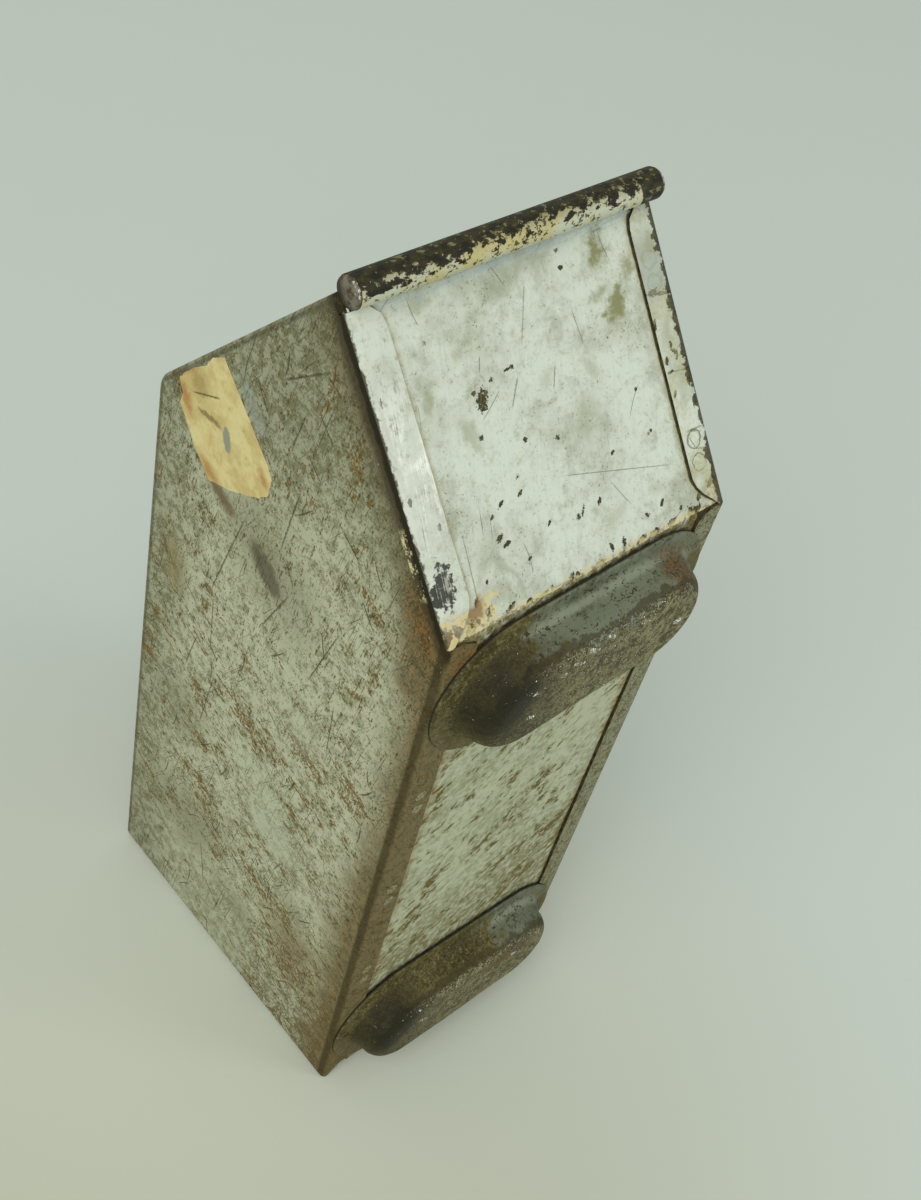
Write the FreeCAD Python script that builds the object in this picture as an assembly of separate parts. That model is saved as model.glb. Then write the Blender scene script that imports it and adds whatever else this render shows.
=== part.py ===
import FreeCAD
import Part
import math
import os

Vector = FreeCAD.Vector

# A sheet-steel hopper-front bin, standing on its back as photographed. Lengths are in
# millimetres and angles in degrees. +Z runs from the back wall to the nose, -Y is the
# underside with its two feet, +Y is the open top, and -X is the left side.

# Overall shape, measured over the outer faces
bin_width = 120.0
bin_depth = 141.5
underside_length = 273.5
rim_length = 266.0
front_slope = 41.2
front_length = 102.8

# Sheet and its folds
sheet = 1.0
bend_inner_radius = 2.0
sheet_clearance = 0.2
hem_width = 8.0
hem_rounding = 0.9
rim_corner_radius = 12.0
nose_edge_rise = 1.5
overrun = 4.0

# Flanges of the sides and of the back
flange_width = 12.4
flange_tip = 6.0
flange_lead = 7.0
flange_corner_radius = 6.0
flange_corner_gap = 5.0
flange_rim_gap = 1.5
flange_side_gap = 0.5

# Nose wire and the curl round it
wire_diameter = 7.8
wire_clearance = 0.1
wire_proud = 0.3
wire_end_rounding = 1.2
curl_inset = 2.0
curl_turn = 300.0

# Feet
foot_sheet = 1.2
foot_side_gap = 2.0
foot_plate_width = 58.0
foot_height = 14.3
foot_end_brim = 8.5
foot_side_brim = 8.0
ridge_draft = 2.0
crest_radius = 8.0
ridge_fillet = 4.0
foot_shift = -1.5
front_foot_place = 243.8
rear_foot_place = 32.3
front_foot_skew = -1.6
rear_foot_skew = 2.3

# Spot welds, in pairs along the flanges, which keep the margins clear at both ends
weld_diameter = 5.0
weld_dimple = 0.2
weld_bite_share = 0.5
weld_pair_gap = 7.5
front_weld_pairs = 2
front_weld_margin = 20.0
floor_weld_pairs = 3
floor_weld_margin = 80.0
back_weld_pairs = 3
back_weld_margin = 26.0
back_floor_weld_pairs = 3
back_floor_weld_margin = 14.0
foot_weld_diameter = 3.6
foot_weld_inset = 2.1
foot_weld_turn = 32.0

# Strip of paper tape on the left side
tape_thickness = 0.25
tape_width = 38.6
tape_length = 44.0
tape_tilt = 4.6
tape_edge_gap = 0.3
tape_rim_gap = 6.5
tape_outline_shares = (
    (0.16, 0.05), (0.4, 0.01), (0.66, 0.02), (0.8, -0.02), (0.97, 0), (1.02, 0.78), (1, 0.89), (0.86, 0.99),
    (0.71, 1), (0.52, 0.97), (0.27, 0.91), (0, 0.82), (-0.02, 0.55), (0.02, 0.22), (0.12, 0.16),
)

bend_outer_radius = bend_inner_radius + sheet
wire_radius = wire_diameter / 2
curl_inner_radius = wire_radius + wire_clearance
curl_outer_radius = curl_inner_radius + sheet
half_sheet_width = bin_width / 2 - bend_outer_radius - sheet_clearance
half_back_flange = bin_width / 2 - flange_width - flange_side_gap
foot_plate_length = bin_width - 2 * foot_side_gap
ridge_length = foot_plate_length - 2 * foot_end_brim
ridge_width = foot_plate_width - 2 * foot_side_brim
middle_depth = (bin_depth - foot_height) / 2

across = Vector(1, 0, 0)
up = Vector(0, 0, 1)
inwards = Vector(0, 1, 0)
left_face = across * (-bin_width / 2)

slope = math.radians(front_slope)
along_front = Vector(0, math.sin(slope), math.cos(slope))
out_of_front = Vector(0, -math.cos(slope), math.sin(slope))
front_bend = up * underside_length
wire_centre = front_bend + along_front * front_length + out_of_front * (curl_inner_radius - sheet)
rim_corner = inwards * bin_depth + up * rim_length

# The nose edge of a side passes a little outside the middle of the wire.
towards_wire = (wire_centre - rim_corner).normalize()
nose_aim = wire_centre - across.cross(towards_wire) * nose_edge_rise
along_nose = (nose_aim - rim_corner).normalize()
into_nose = across.cross(along_nose)


def meet(start, direction, other_start, other_direction):
    # Where two lines in the side view cross.
    turn = direction.cross(other_direction).x
    share = (other_start - start).cross(other_direction).x / turn
    return start + direction * share


def arc(centre, first, middle, last, radius):
    # An arc through three directions from its centre.
    points = [centre + Vector(way).normalize() * radius for way in (first, middle, last)]
    return Part.Arc(*points).toShape()


def rounded_path(corners, closed):
    # Straight runs with a tangent arc at each corner that has a radius.
    count = len(corners)
    stops = []
    for index, (corner, radius) in enumerate(corners):
        is_end = not closed and index in (0, count - 1)
        if is_end or radius == 0:
            stops.append((corner, None, corner))
            continue
        before = (corners[index - 1][0] - corner).normalize()
        after = (corners[(index + 1) % count][0] - corner).normalize()
        half_angle = before.getAngle(after) / 2
        reach = radius / math.tan(half_angle)
        centre = corner + (before + after).normalize() * (radius / math.sin(half_angle))
        middle = centre + (corner - centre).normalize() * radius
        stops.append((corner + before * reach, middle, corner + after * reach))
    edges = []
    for index, (first, middle, last) in enumerate(stops):
        if middle is not None:
            edges.append(Part.Arc(first, middle, last).toShape())
        if closed or index < count - 1:
            following = stops[(index + 1) % count][0]
            edges.append(Part.makeLine(last, following))
    return edges


def slab(corners, depth):
    # A flat plate with the given rounded outline, made thick by a vector.
    face = Part.Face(Part.Wire(rounded_path(corners, True)))
    return face.extrude(depth)


def rod(centre, radius, half_length):
    return Part.makeCylinder(radius, 2 * half_length, centre - across * half_length, across)


def mirrored(shape):
    return shape.mirror(Vector(0, 0, 0), across)


def side_lines(inset):
    # The floor, back and front edges of the side view, moved into the bin.
    floor_line = inwards * inset
    back_line = up * inset
    front_line = front_bend - out_of_front * inset
    return floor_line, back_line, front_line


def fold_corners():
    # Corners of the flat part of a side panel, where its folds begin.
    floor_line, back_line, front_line = side_lines(bend_outer_radius)
    rear_corner = meet(floor_line, up, back_line, inwards)
    front_corner = meet(floor_line, up, front_line, along_front)
    return rear_corner, front_corner


def flange_lines():
    # Each flanged edge: its start, its direction, the way into the bin and its run.
    front_run = front_length - curl_outer_radius - sheet_clearance
    origin = Vector(0, 0, 0)
    return {
        "front": (front_bend, along_front, -out_of_front, front_run),
        "floor": (origin, up, inwards, underside_length),
        "back": (origin, inwards, up, bin_depth - flange_rim_gap),
    }


def fold_section(edge, reach, inward):
    # A quarter-round fold and the flat after it, from where the two outer faces would meet.
    fold_centre = edge + (reach + inward) * bend_outer_radius
    outer_fold = arc(fold_centre, -reach, -reach - inward, -inward, bend_outer_radius)
    inner_fold = arc(fold_centre, -inward, -reach - inward, -reach, bend_inner_radius)
    outer_end = edge + reach * flange_width
    inner_end = outer_end + inward * sheet
    outline = Part.Wire([
        outer_fold,
        Part.makeLine(outer_fold.Vertexes[-1].Point, outer_end),
        Part.makeLine(outer_end, inner_end),
        Part.makeLine(inner_end, inner_fold.Vertexes[0].Point),
        inner_fold,
        Part.makeLine(inner_fold.Vertexes[-1].Point, outer_fold.Vertexes[0].Point),
    ])
    return Part.Face(outline)


def flange(start, along, inward, run, folds):
    # A flange of the left side, with both inner corners of its flat cut away. At the corners
    # of the panel it is mitred to the next flange.
    edge = start + left_face
    strip = fold_section(edge, across, inward).extrude(along * run)
    below = edge - inward * overrun

    def place(distance, offset):
        return below + along * distance + across * offset

    outline = [
        (place(-overrun, -overrun), 0),
        (place(-overrun, flange_tip), 0),
        (place(flange_corner_gap, flange_tip), 0),
        (place(flange_corner_gap + flange_lead, flange_width), flange_corner_radius),
        (place(run - flange_lead, flange_width), flange_corner_radius),
        (place(run, flange_tip), 0),
        (place(run + overrun, flange_tip), 0),
        (place(run + overrun, -overrun), 0),
    ]
    strip = strip.common(slab(outline, inward * (bend_outer_radius + 2 * overrun)))
    mitre = [(start, 0), (folds[0], 0), (folds[1], 0), (start + along * run, 0)]
    return strip.common(slab([(point + left_face, radius) for point, radius in mitre], across * flange_width))


def left_side():
    _, back_line, front_line = side_lines(bend_outer_radius)
    rear_corner, front_corner = fold_corners()
    lines = flange_lines()
    front_top = front_line + along_front * lines["front"][-1]
    back_top = back_line + inwards * lines["back"][-1]
    plate_corners = [
        (meet(rim_corner, up, back_line, inwards), 0),
        (rim_corner, rim_corner_radius),
        (meet(rim_corner, along_nose, front_line, along_front), 0),
        (front_corner, 0),
        (rear_corner, 0),
    ]
    panel = slab([(point + left_face, radius) for point, radius in plate_corners], across * sheet)
    panel = panel.fuse([
        flange(*lines["front"], (front_corner, front_top)),
        flange(*lines["floor"], (rear_corner, front_corner)),
        flange(*lines["back"], (rear_corner, back_top)),
        side_hem(),
    ])
    panel = panel.cut(rod(wire_centre, curl_outer_radius + sheet_clearance, bin_width)).removeSplitter()
    return panel.makeFillet(hem_rounding, rim_edges(panel))


def rim_edges(panel):
    # Both long edges of the folded rim, along the top, round the corner and down the nose.
    tight = sheet_clearance / 2
    found = []
    for edge in panel.Edges:
        middle = edge.valueAt((edge.FirstParameter + edge.LastParameter) / 2)
        below_rim = bin_depth - middle.y
        below_nose = (middle - rim_corner).dot(into_nose)
        is_flat = edge.BoundBox.XLength < tight
        in_corner = max(below_rim, below_nose) < rim_corner_radius
        at_rim = min(below_rim, below_nose) < tight or (in_corner and edge.Curve.TypeId == "Part::GeomCircle")
        if is_flat and at_rim and edge.Length > rim_corner_radius:
            found.append(edge)
    return found


def side_hem():
    # The rim folded flat against the inside of the panel, along the top and the nose edge.
    inside_front = front_bend - out_of_front * (2 * sheet + sheet_clearance)
    clear_back = up * (3 * sheet + sheet_clearance)
    lower_rim = rim_corner - inwards * hem_width
    lower_nose = rim_corner + into_nose * hem_width
    corners = [
        (meet(rim_corner, up, clear_back, inwards), 0),
        (rim_corner, rim_corner_radius),
        (meet(rim_corner, along_nose, inside_front, along_front), 0),
        (meet(lower_nose, along_nose, inside_front, along_front), 0),
        (meet(lower_rim, up, lower_nose, along_nose), 0),
        (meet(lower_rim, up, clear_back, inwards), 0),
    ]
    return slab([(point + left_face + across * sheet, radius) for point, radius in corners], across * sheet)


def floor_front_sheet():
    # One strip: the floor and the front, which curls outwards round the wire.
    half_curl = bin_width / 2 - curl_inset
    rear_edge = up * (sheet + bend_outer_radius + sheet_clearance)

    def strip_path(offset, radius):
        floor_line, _, front_line = side_lines(offset)
        corners = [
            (floor_line + rear_edge, 0),
            (meet(floor_line, up, front_line, along_front), radius),
            (front_line + along_front * front_length, 0),
        ]
        return rounded_path(corners, False)

    outside = strip_path(sheet, bend_outer_radius)
    inside = strip_path(2 * sheet, bend_inner_radius)
    profile = outside + [
        Part.makeLine(outside[-1].Vertexes[-1].Point, inside[-1].Vertexes[-1].Point),
        *inside,
        Part.makeLine(outside[0].Vertexes[0].Point, inside[0].Vertexes[0].Point),
    ]
    strip = Part.Face(Part.Wire(Part.sortEdges(profile)[0])).extrude(across * (2 * half_sheet_width))
    strip.translate(-across * half_sheet_width)

    def turned(degrees):
        turn = math.radians(degrees)
        return along_front * math.sin(turn) - out_of_front * math.cos(turn)

    inner = arc(wire_centre, turned(0), turned(curl_turn / 2), turned(curl_turn), curl_inner_radius)
    outer = arc(wire_centre, turned(0), turned(curl_turn / 2), turned(curl_turn), curl_outer_radius)
    curl_profile = Part.Wire([
        inner,
        Part.makeLine(inner.Vertexes[-1].Point, outer.Vertexes[-1].Point),
        outer,
        Part.makeLine(outer.Vertexes[0].Point, inner.Vertexes[0].Point),
    ])
    curl = Part.Face(curl_profile).extrude(across * (2 * half_curl))
    curl.translate(-across * half_curl)
    return strip.fuse(curl).removeSplitter()


def back_panel():
    # A plate with a folded rim, and a flange turned under the floor between the side flanges.
    lower_edge = sheet + sheet_clearance
    outline = [
        Vector(half_sheet_width, bin_depth, sheet),
        Vector(half_sheet_width, lower_edge, sheet),
        Vector(half_back_flange, lower_edge, sheet),
        Vector(half_back_flange, bend_outer_radius, sheet),
    ]
    outline += [mirrored(Part.Vertex(point)).Point for point in reversed(outline)]
    plate = slab([(point, 0) for point in outline], up * sheet)
    flange_edge = up * sheet - across * half_back_flange
    under_floor = fold_section(flange_edge, up, inwards).extrude(across * (2 * half_back_flange))
    hem_corner = inwards * (bin_depth - hem_width) + up * (2 * sheet) - across * half_sheet_width
    hem = Part.makeBox(2 * half_sheet_width, hem_width, sheet, hem_corner)
    return plate.fuse([under_floor, hem]).removeSplitter()


def nose_wire():
    wire = rod(wire_centre, wire_radius, bin_width / 2 - curl_inset + wire_proud)
    rims = [edge for edge in wire.Edges if edge.BoundBox.XLength < wire_clearance]
    return wire.makeFillet(wire_end_rounding, rims)


def stadium(length, width, level):
    # A round-ended outline in the plane of the underside.
    end_radius = width / 2
    run = length / 2 - end_radius
    right = Vector(run, level, 0)
    left = Vector(-run, level, 0)
    right_end = arc(right, up, across, -up, end_radius)
    left_end = arc(left, -up, -across, up, end_radius)
    return Part.Wire([
        right_end,
        Part.makeLine(right_end.Vertexes[-1].Point, left_end.Vertexes[0].Point),
        left_end,
        Part.makeLine(left_end.Vertexes[-1].Point, right_end.Vertexes[0].Point),
    ])


def edges_at(shape, level, width):
    # Edges that lie in one level of a foot, within a band of the given width.
    tight = sheet_clearance / 2
    found = []
    for edge in shape.Edges:
        box = edge.BoundBox
        is_level = abs(box.YMin - level) < tight and abs(box.YMax - level) < tight
        if is_level and max(-box.ZMin, box.ZMax) < width / 2 + tight:
            found.append(edge)
    return found


def ridge(inset, top):
    # The raised part of a foot, tapering towards its crest, or its hollow when inset.
    base = stadium(ridge_length - 2 * inset, ridge_width - 2 * inset, 0)
    crest = stadium(ridge_length - 2 * (inset + ridge_draft), ridge_width - 2 * (inset + ridge_draft), -top)
    block = Part.makeLoft([base, crest], True, True)
    return block.makeFillet(crest_radius - inset, edges_at(block, -top, ridge_width))


def foot():
    plate = Part.Face(stadium(foot_plate_length, foot_plate_width, 0)).extrude(-inwards * foot_sheet)
    pressing = plate.fuse(ridge(0, foot_height)).removeSplitter()
    pressing = pressing.makeFillet(ridge_fillet, edges_at(pressing, -foot_sheet, ridge_width))
    cover = Part.Face(stadium(foot_plate_length, foot_plate_width, 0)).extrude(inwards * foot_sheet)
    hollow = cover.fuse(ridge(foot_sheet, foot_height - foot_sheet)).removeSplitter()
    hollow = hollow.makeFillet(ridge_fillet + foot_sheet, edges_at(hollow, 0, ridge_width))
    return pressing.cut(hollow)


def placed_foot(place, skew):
    shape = foot()
    shape.rotate(Vector(0, 0, 0), inwards, skew)
    shape.translate(across * foot_shift + up * place)
    return shape


def spread(first, last, count):
    step = (last - first) / (count - 1)
    return [first + step * index for index in range(count)]


def flange_seats(name, pair_count, margin):
    # Places of the welds on a flange, on both sides of the bin.
    start, along, inward, run = flange_lines()[name]
    reach = bin_width / 2 - (bend_outer_radius + flange_width) / 2
    seats = []
    for middle in spread(margin, run - margin, pair_count):
        for end in (-1, 1):
            for side in (-1, 1):
                place = middle + end * weld_pair_gap / 2
                seats.append(start + along * place + across * (side * reach))
    return seats


def back_floor_seats():
    # Places of the welds on the flange that the back turns under the floor.
    middle_of_flat = sheet + (bend_outer_radius + flange_width) / 2
    reach = half_back_flange - back_floor_weld_margin
    seats = []
    for middle in spread(-reach, reach, back_floor_weld_pairs):
        for end in (-1, 1):
            seats.append(across * (middle + end * weld_pair_gap / 2) + up * middle_of_flat)
    return seats


def foot_seats(place, skew):
    # Places of the welds on the brim of a foot, two round each end.
    turn = FreeCAD.Rotation(inwards, skew)
    weld_turn = math.radians(foot_weld_turn)
    circle_radius = foot_plate_width / 2 - foot_weld_inset
    reach = (foot_plate_length - foot_plate_width) / 2 + circle_radius * math.cos(weld_turn)
    rise = circle_radius * math.sin(weld_turn)
    seats = []
    for side in (-1, 1):
        for end in (-1, 1):
            seat = turn.multVec(Vector(side * reach, -foot_sheet, end * rise))
            seats.append(seat + across * foot_shift + up * place)
    return seats


def plugs(seats, inward, diameter, first, last):
    # Upright cylinders at the given places, between two depths.
    return [Part.makeCylinder(diameter / 2, last - first, seat + inward * first, inward) for seat in seats]


def paper_tape():
    tilt = math.radians(tape_tilt)
    along_tape = into_nose * math.cos(tilt) - along_nose * math.sin(tilt)
    across_tape = along_nose * math.cos(tilt) + into_nose * math.sin(tilt)
    corner = rim_corner + left_face + along_nose * tape_rim_gap + into_nose * tape_edge_gap
    outline = []
    for width_share, length_share in tape_outline_shares:
        point = corner + across_tape * (tape_width * width_share) + along_tape * (tape_length * length_share)
        outline.append((point, 0))
    return slab(outline, -across * tape_thickness)


left_panel = left_side()
parts = {
    "left_side_panel": left_panel,
    "right_side_panel": mirrored(left_panel),
    "floor_front_sheet": floor_front_sheet(),
    "back_panel": back_panel(),
    "front_foot": placed_foot(front_foot_place, front_foot_skew),
    "rear_foot": placed_foot(rear_foot_place, rear_foot_skew),
}

# Each group of welds: its places, the way in, its diameter, the upper sheet and what it joins
sides = ("left_side_panel", "right_side_panel")
front_seats = flange_seats("front", front_weld_pairs, front_weld_margin)
floor_seats = flange_seats("floor", floor_weld_pairs, floor_weld_margin)
back_seats = flange_seats("back", back_weld_pairs, back_weld_margin)
underside_seats = back_floor_seats()
front_foot_seats = foot_seats(front_foot_place, front_foot_skew)
rear_foot_seats = foot_seats(rear_foot_place, rear_foot_skew)
weld_groups = {
    "front_flange_welds": (front_seats, -out_of_front, weld_diameter, sheet, (*sides, "floor_front_sheet")),
    "floor_flange_welds": (floor_seats, inwards, weld_diameter, sheet, (*sides, "floor_front_sheet")),
    "back_flange_welds": (back_seats, up, weld_diameter, sheet, (*sides, "back_panel")),
    "back_floor_welds": (underside_seats, inwards, weld_diameter, sheet, ("back_panel", "floor_front_sheet")),
    "front_foot_welds": (front_foot_seats, inwards, foot_weld_diameter, foot_sheet, (*sides, "front_foot")),
    "rear_foot_welds": (rear_foot_seats, inwards, foot_weld_diameter, foot_sheet, (*sides, "rear_foot")),
}

# Each weld fills a hole through the upper sheet that ends inside the lower one.
for name, (seats, inward, diameter, upper_sheet, joined) in weld_groups.items():
    bottom = upper_sheet + sheet * weld_bite_share
    holes = plugs(seats, inward, diameter, -weld_dimple, bottom)
    for piece in joined:
        parts[piece] = parts[piece].cut(holes)
    parts[name] = Part.makeCompound(plugs(seats, inward, diameter, weld_dimple, bottom))
parts["nose_wire"] = nose_wire()
parts["paper_tape"] = paper_tape()

os.makedirs("parts", exist_ok=True)
for name, shape in parts.items():
    shape.translate(-inwards * middle_depth)
    shape.exportStep("parts/" + name + ".step")
    print(name, shape.isValid(), len(shape.Solids), round(shape.Volume, 1))
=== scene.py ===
import math

import bmesh
import bpy
from mathutils import Matrix, Vector, noise
from mathutils.geometry import delaunay_2d_cdt


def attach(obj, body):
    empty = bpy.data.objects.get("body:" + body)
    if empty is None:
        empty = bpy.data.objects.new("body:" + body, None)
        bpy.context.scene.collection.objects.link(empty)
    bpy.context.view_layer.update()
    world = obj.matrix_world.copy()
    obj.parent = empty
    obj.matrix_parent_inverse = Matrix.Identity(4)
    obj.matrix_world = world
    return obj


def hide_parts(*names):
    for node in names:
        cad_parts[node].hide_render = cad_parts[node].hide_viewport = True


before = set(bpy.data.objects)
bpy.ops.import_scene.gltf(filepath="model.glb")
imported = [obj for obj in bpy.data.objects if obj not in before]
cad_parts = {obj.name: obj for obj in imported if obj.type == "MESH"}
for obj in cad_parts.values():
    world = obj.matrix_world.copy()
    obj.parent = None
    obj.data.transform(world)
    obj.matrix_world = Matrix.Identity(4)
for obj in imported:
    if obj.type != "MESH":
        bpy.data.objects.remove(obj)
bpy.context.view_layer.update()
print("frame loaded:", len(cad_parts), "nodes")

# The bin's own lines, in mm, with y counted from the underside and z from the back
shell = {
    "halfWidth": 60.0, "depth": 141.5, "underside": 273.5, "rim": 266.0, "slope": 41.2,
    "frontRun": 102.8, "sheet": 1.0, "bend": 3.0, "rimRound": 12.0, "noseRise": 1.5, "middle": 63.6, "sharp": 32,
}
# Side flanges: width, width at the tip, how they widen at an end and narrow below the nose
flange = {"width": 12.4, "tip": 3.0, "start": 1.0, "lead": 12.0, "topRound": 8.0, "topShare": 0.56}
nose = {"wire": 3.9, "curlInside": 4.0, "curlOutside": 5.0, "halfCurl": 58.0, "turn": 300.0, "gap": 0.2}

slope = math.radians(shell["slope"])
alongFront = Vector((math.sin(slope), math.cos(slope)))
outFront = Vector((-math.cos(slope), math.sin(slope)))
frontBend = Vector((0.0, shell["underside"]))
wireCentre = frontBend + alongFront * shell["frontRun"] + outFront * (nose["curlInside"] - shell["sheet"])
rimCorner = Vector((shell["depth"], shell["rim"]))
frontTop = shell["frontRun"] - nose["curlOutside"] - nose["gap"]
flangeEdge = shell["halfWidth"] - flange["width"]


def inwardOf(direction):
    return Vector((-direction.y, direction.x))


toWire = (wireCentre - rimCorner).normalized()
noseAim = wireCentre - inwardOf(toWire) * shell["noseRise"]
alongNose = (noseAim - rimCorner).normalized()
intoNose = inwardOf(alongNose)


def crossing(start, direction, otherStart, otherDirection):
    turn = direction.cross(otherDirection)
    return start + direction * ((otherStart - start).cross(otherDirection) / turn)


def toFrame(point):
    return Vector((point[0], point[1] - shell["middle"], point[2])) / 1000


def lerpRow(first, last, count):
    return [first.lerp(last, index / (count - 1)) for index in range(count)]


def smooth(low, high, value):
    share = min(max((value - low) / (high - low), 0.0), 1.0)
    return share * share * (3 - 2 * share)


# Mesh helpers

def addObject(name, data):
    made = bpy.data.objects.new(name, data)
    bpy.context.scene.collection.objects.link(made)
    return made


def makePiece(name, points, faces, mats, faceSlots=None):
    mesh = bpy.data.meshes.new(name)
    mesh.from_pydata([toFrame(point) for point in points], [], faces)
    for mat in mats:
        mesh.materials.append(mat)
    if faceSlots:
        mesh.polygons.foreach_set("material_index", faceSlots)
    return addObject(name, mesh)


def closeSeams(made, turnOut=True):
    work = bmesh.new()
    work.from_mesh(made.data)
    bmesh.ops.remove_doubles(work, verts=work.verts, dist=2e-6)
    bmesh.ops.dissolve_degenerate(work, edges=work.edges, dist=1e-6)
    if turnOut:
        bmesh.ops.recalc_face_normals(work, faces=work.faces)
    work.to_mesh(made.data)
    work.free()


def applyModifiers(made):
    bpy.context.view_layer.update()
    graph = bpy.context.evaluated_depsgraph_get()
    mesh = bpy.data.meshes.new_from_object(made.evaluated_get(graph))
    made.modifiers.clear()
    made.data = mesh


def shadeByAngle(made, degrees):
    made.data.shade_smooth()
    made.data.set_sharp_from_angle(angle=math.radians(degrees))


def makeSolid(name, points, faces, mats, sharp, faceSlots=None):
    made = makePiece(name, points, faces, mats, faceSlots)
    closeSeams(made)
    shadeByAngle(made, sharp)
    return made


def addSkin(made, thickness, offset):
    # A sheet that faces left gets its thickness
    if made.data.polygons[0].normal.x > 0:
        made.data.flip_normals()
    skin = made.modifiers.new("skin", "SOLIDIFY")
    skin.thickness = thickness / 1000
    skin.offset = offset
    return skin


def gridFaces(rows, columns, start=0, closed=False):
    faces = []
    for row in range(rows - 1):
        for column in range(columns if closed else columns - 1):
            following = (column + 1) % columns
            first = start + row * columns
            second = first + columns
            faces.append((first + column, first + following, second + following, second + column))
    return faces


# Shader helpers: a Flow is one socket, a Coat is one material being built

def addNode(tree, kind, settings, sockets):
    made = tree.nodes.new(kind)
    for key, value in (settings or {}).items():
        setattr(made, key, value)
    for key, value in sockets.items():
        if isinstance(value, bpy.types.NodeSocket):
            tree.links.new(value, made.inputs[key])
        else:
            made.inputs[key].default_value = value
    return made


class Flow:
    def __init__(self, coat, socket):
        self.coat = coat
        self.socket = socket

    def maths(self, operation, *others):
        return self.coat.node("ShaderNodeMath", {"operation": operation}, [self, *others])

    def other(self, name):
        return Flow(self.coat, self.socket.node.outputs[name])

    def __add__(self, other):
        return self.maths("ADD", other)

    def __mul__(self, other):
        return self.maths("MULTIPLY", other)

    def __sub__(self, other):
        return self.maths("SUBTRACT", other)

    def __rsub__(self, other):
        return self.coat.node("ShaderNodeMath", {"operation": "SUBTRACT"}, [other, self])

    def __pow__(self, other):
        return self.maths("POWER", other)

    def __abs__(self):
        return self.maths("ABSOLUTE")

    def least(self, other):
        return self.maths("MINIMUM", other)

    def most(self, other):
        return self.maths("MAXIMUM", other)

    def sway(self, amount):
        return (self - 0.5) * amount

    def band(self, low, high):
        if low > high:
            return 1 - self.band(high, low)
        sockets = {"Value": self, "From Min": low, "From Max": high}
        return self.coat.node("ShaderNodeMapRange", {"interpolation_type": "SMOOTHSTEP"}, sockets)

    __radd__ = __add__
    __rmul__ = __mul__


def tone(levels):
    # An 8-bit colour as the linear values a node takes
    shares = [level / 255 for level in levels]
    linear = [share / 12.92 if share < 0.04045 else ((share + 0.055) / 1.055) ** 2.4 for share in shares]
    return (*linear, 1.0)


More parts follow.
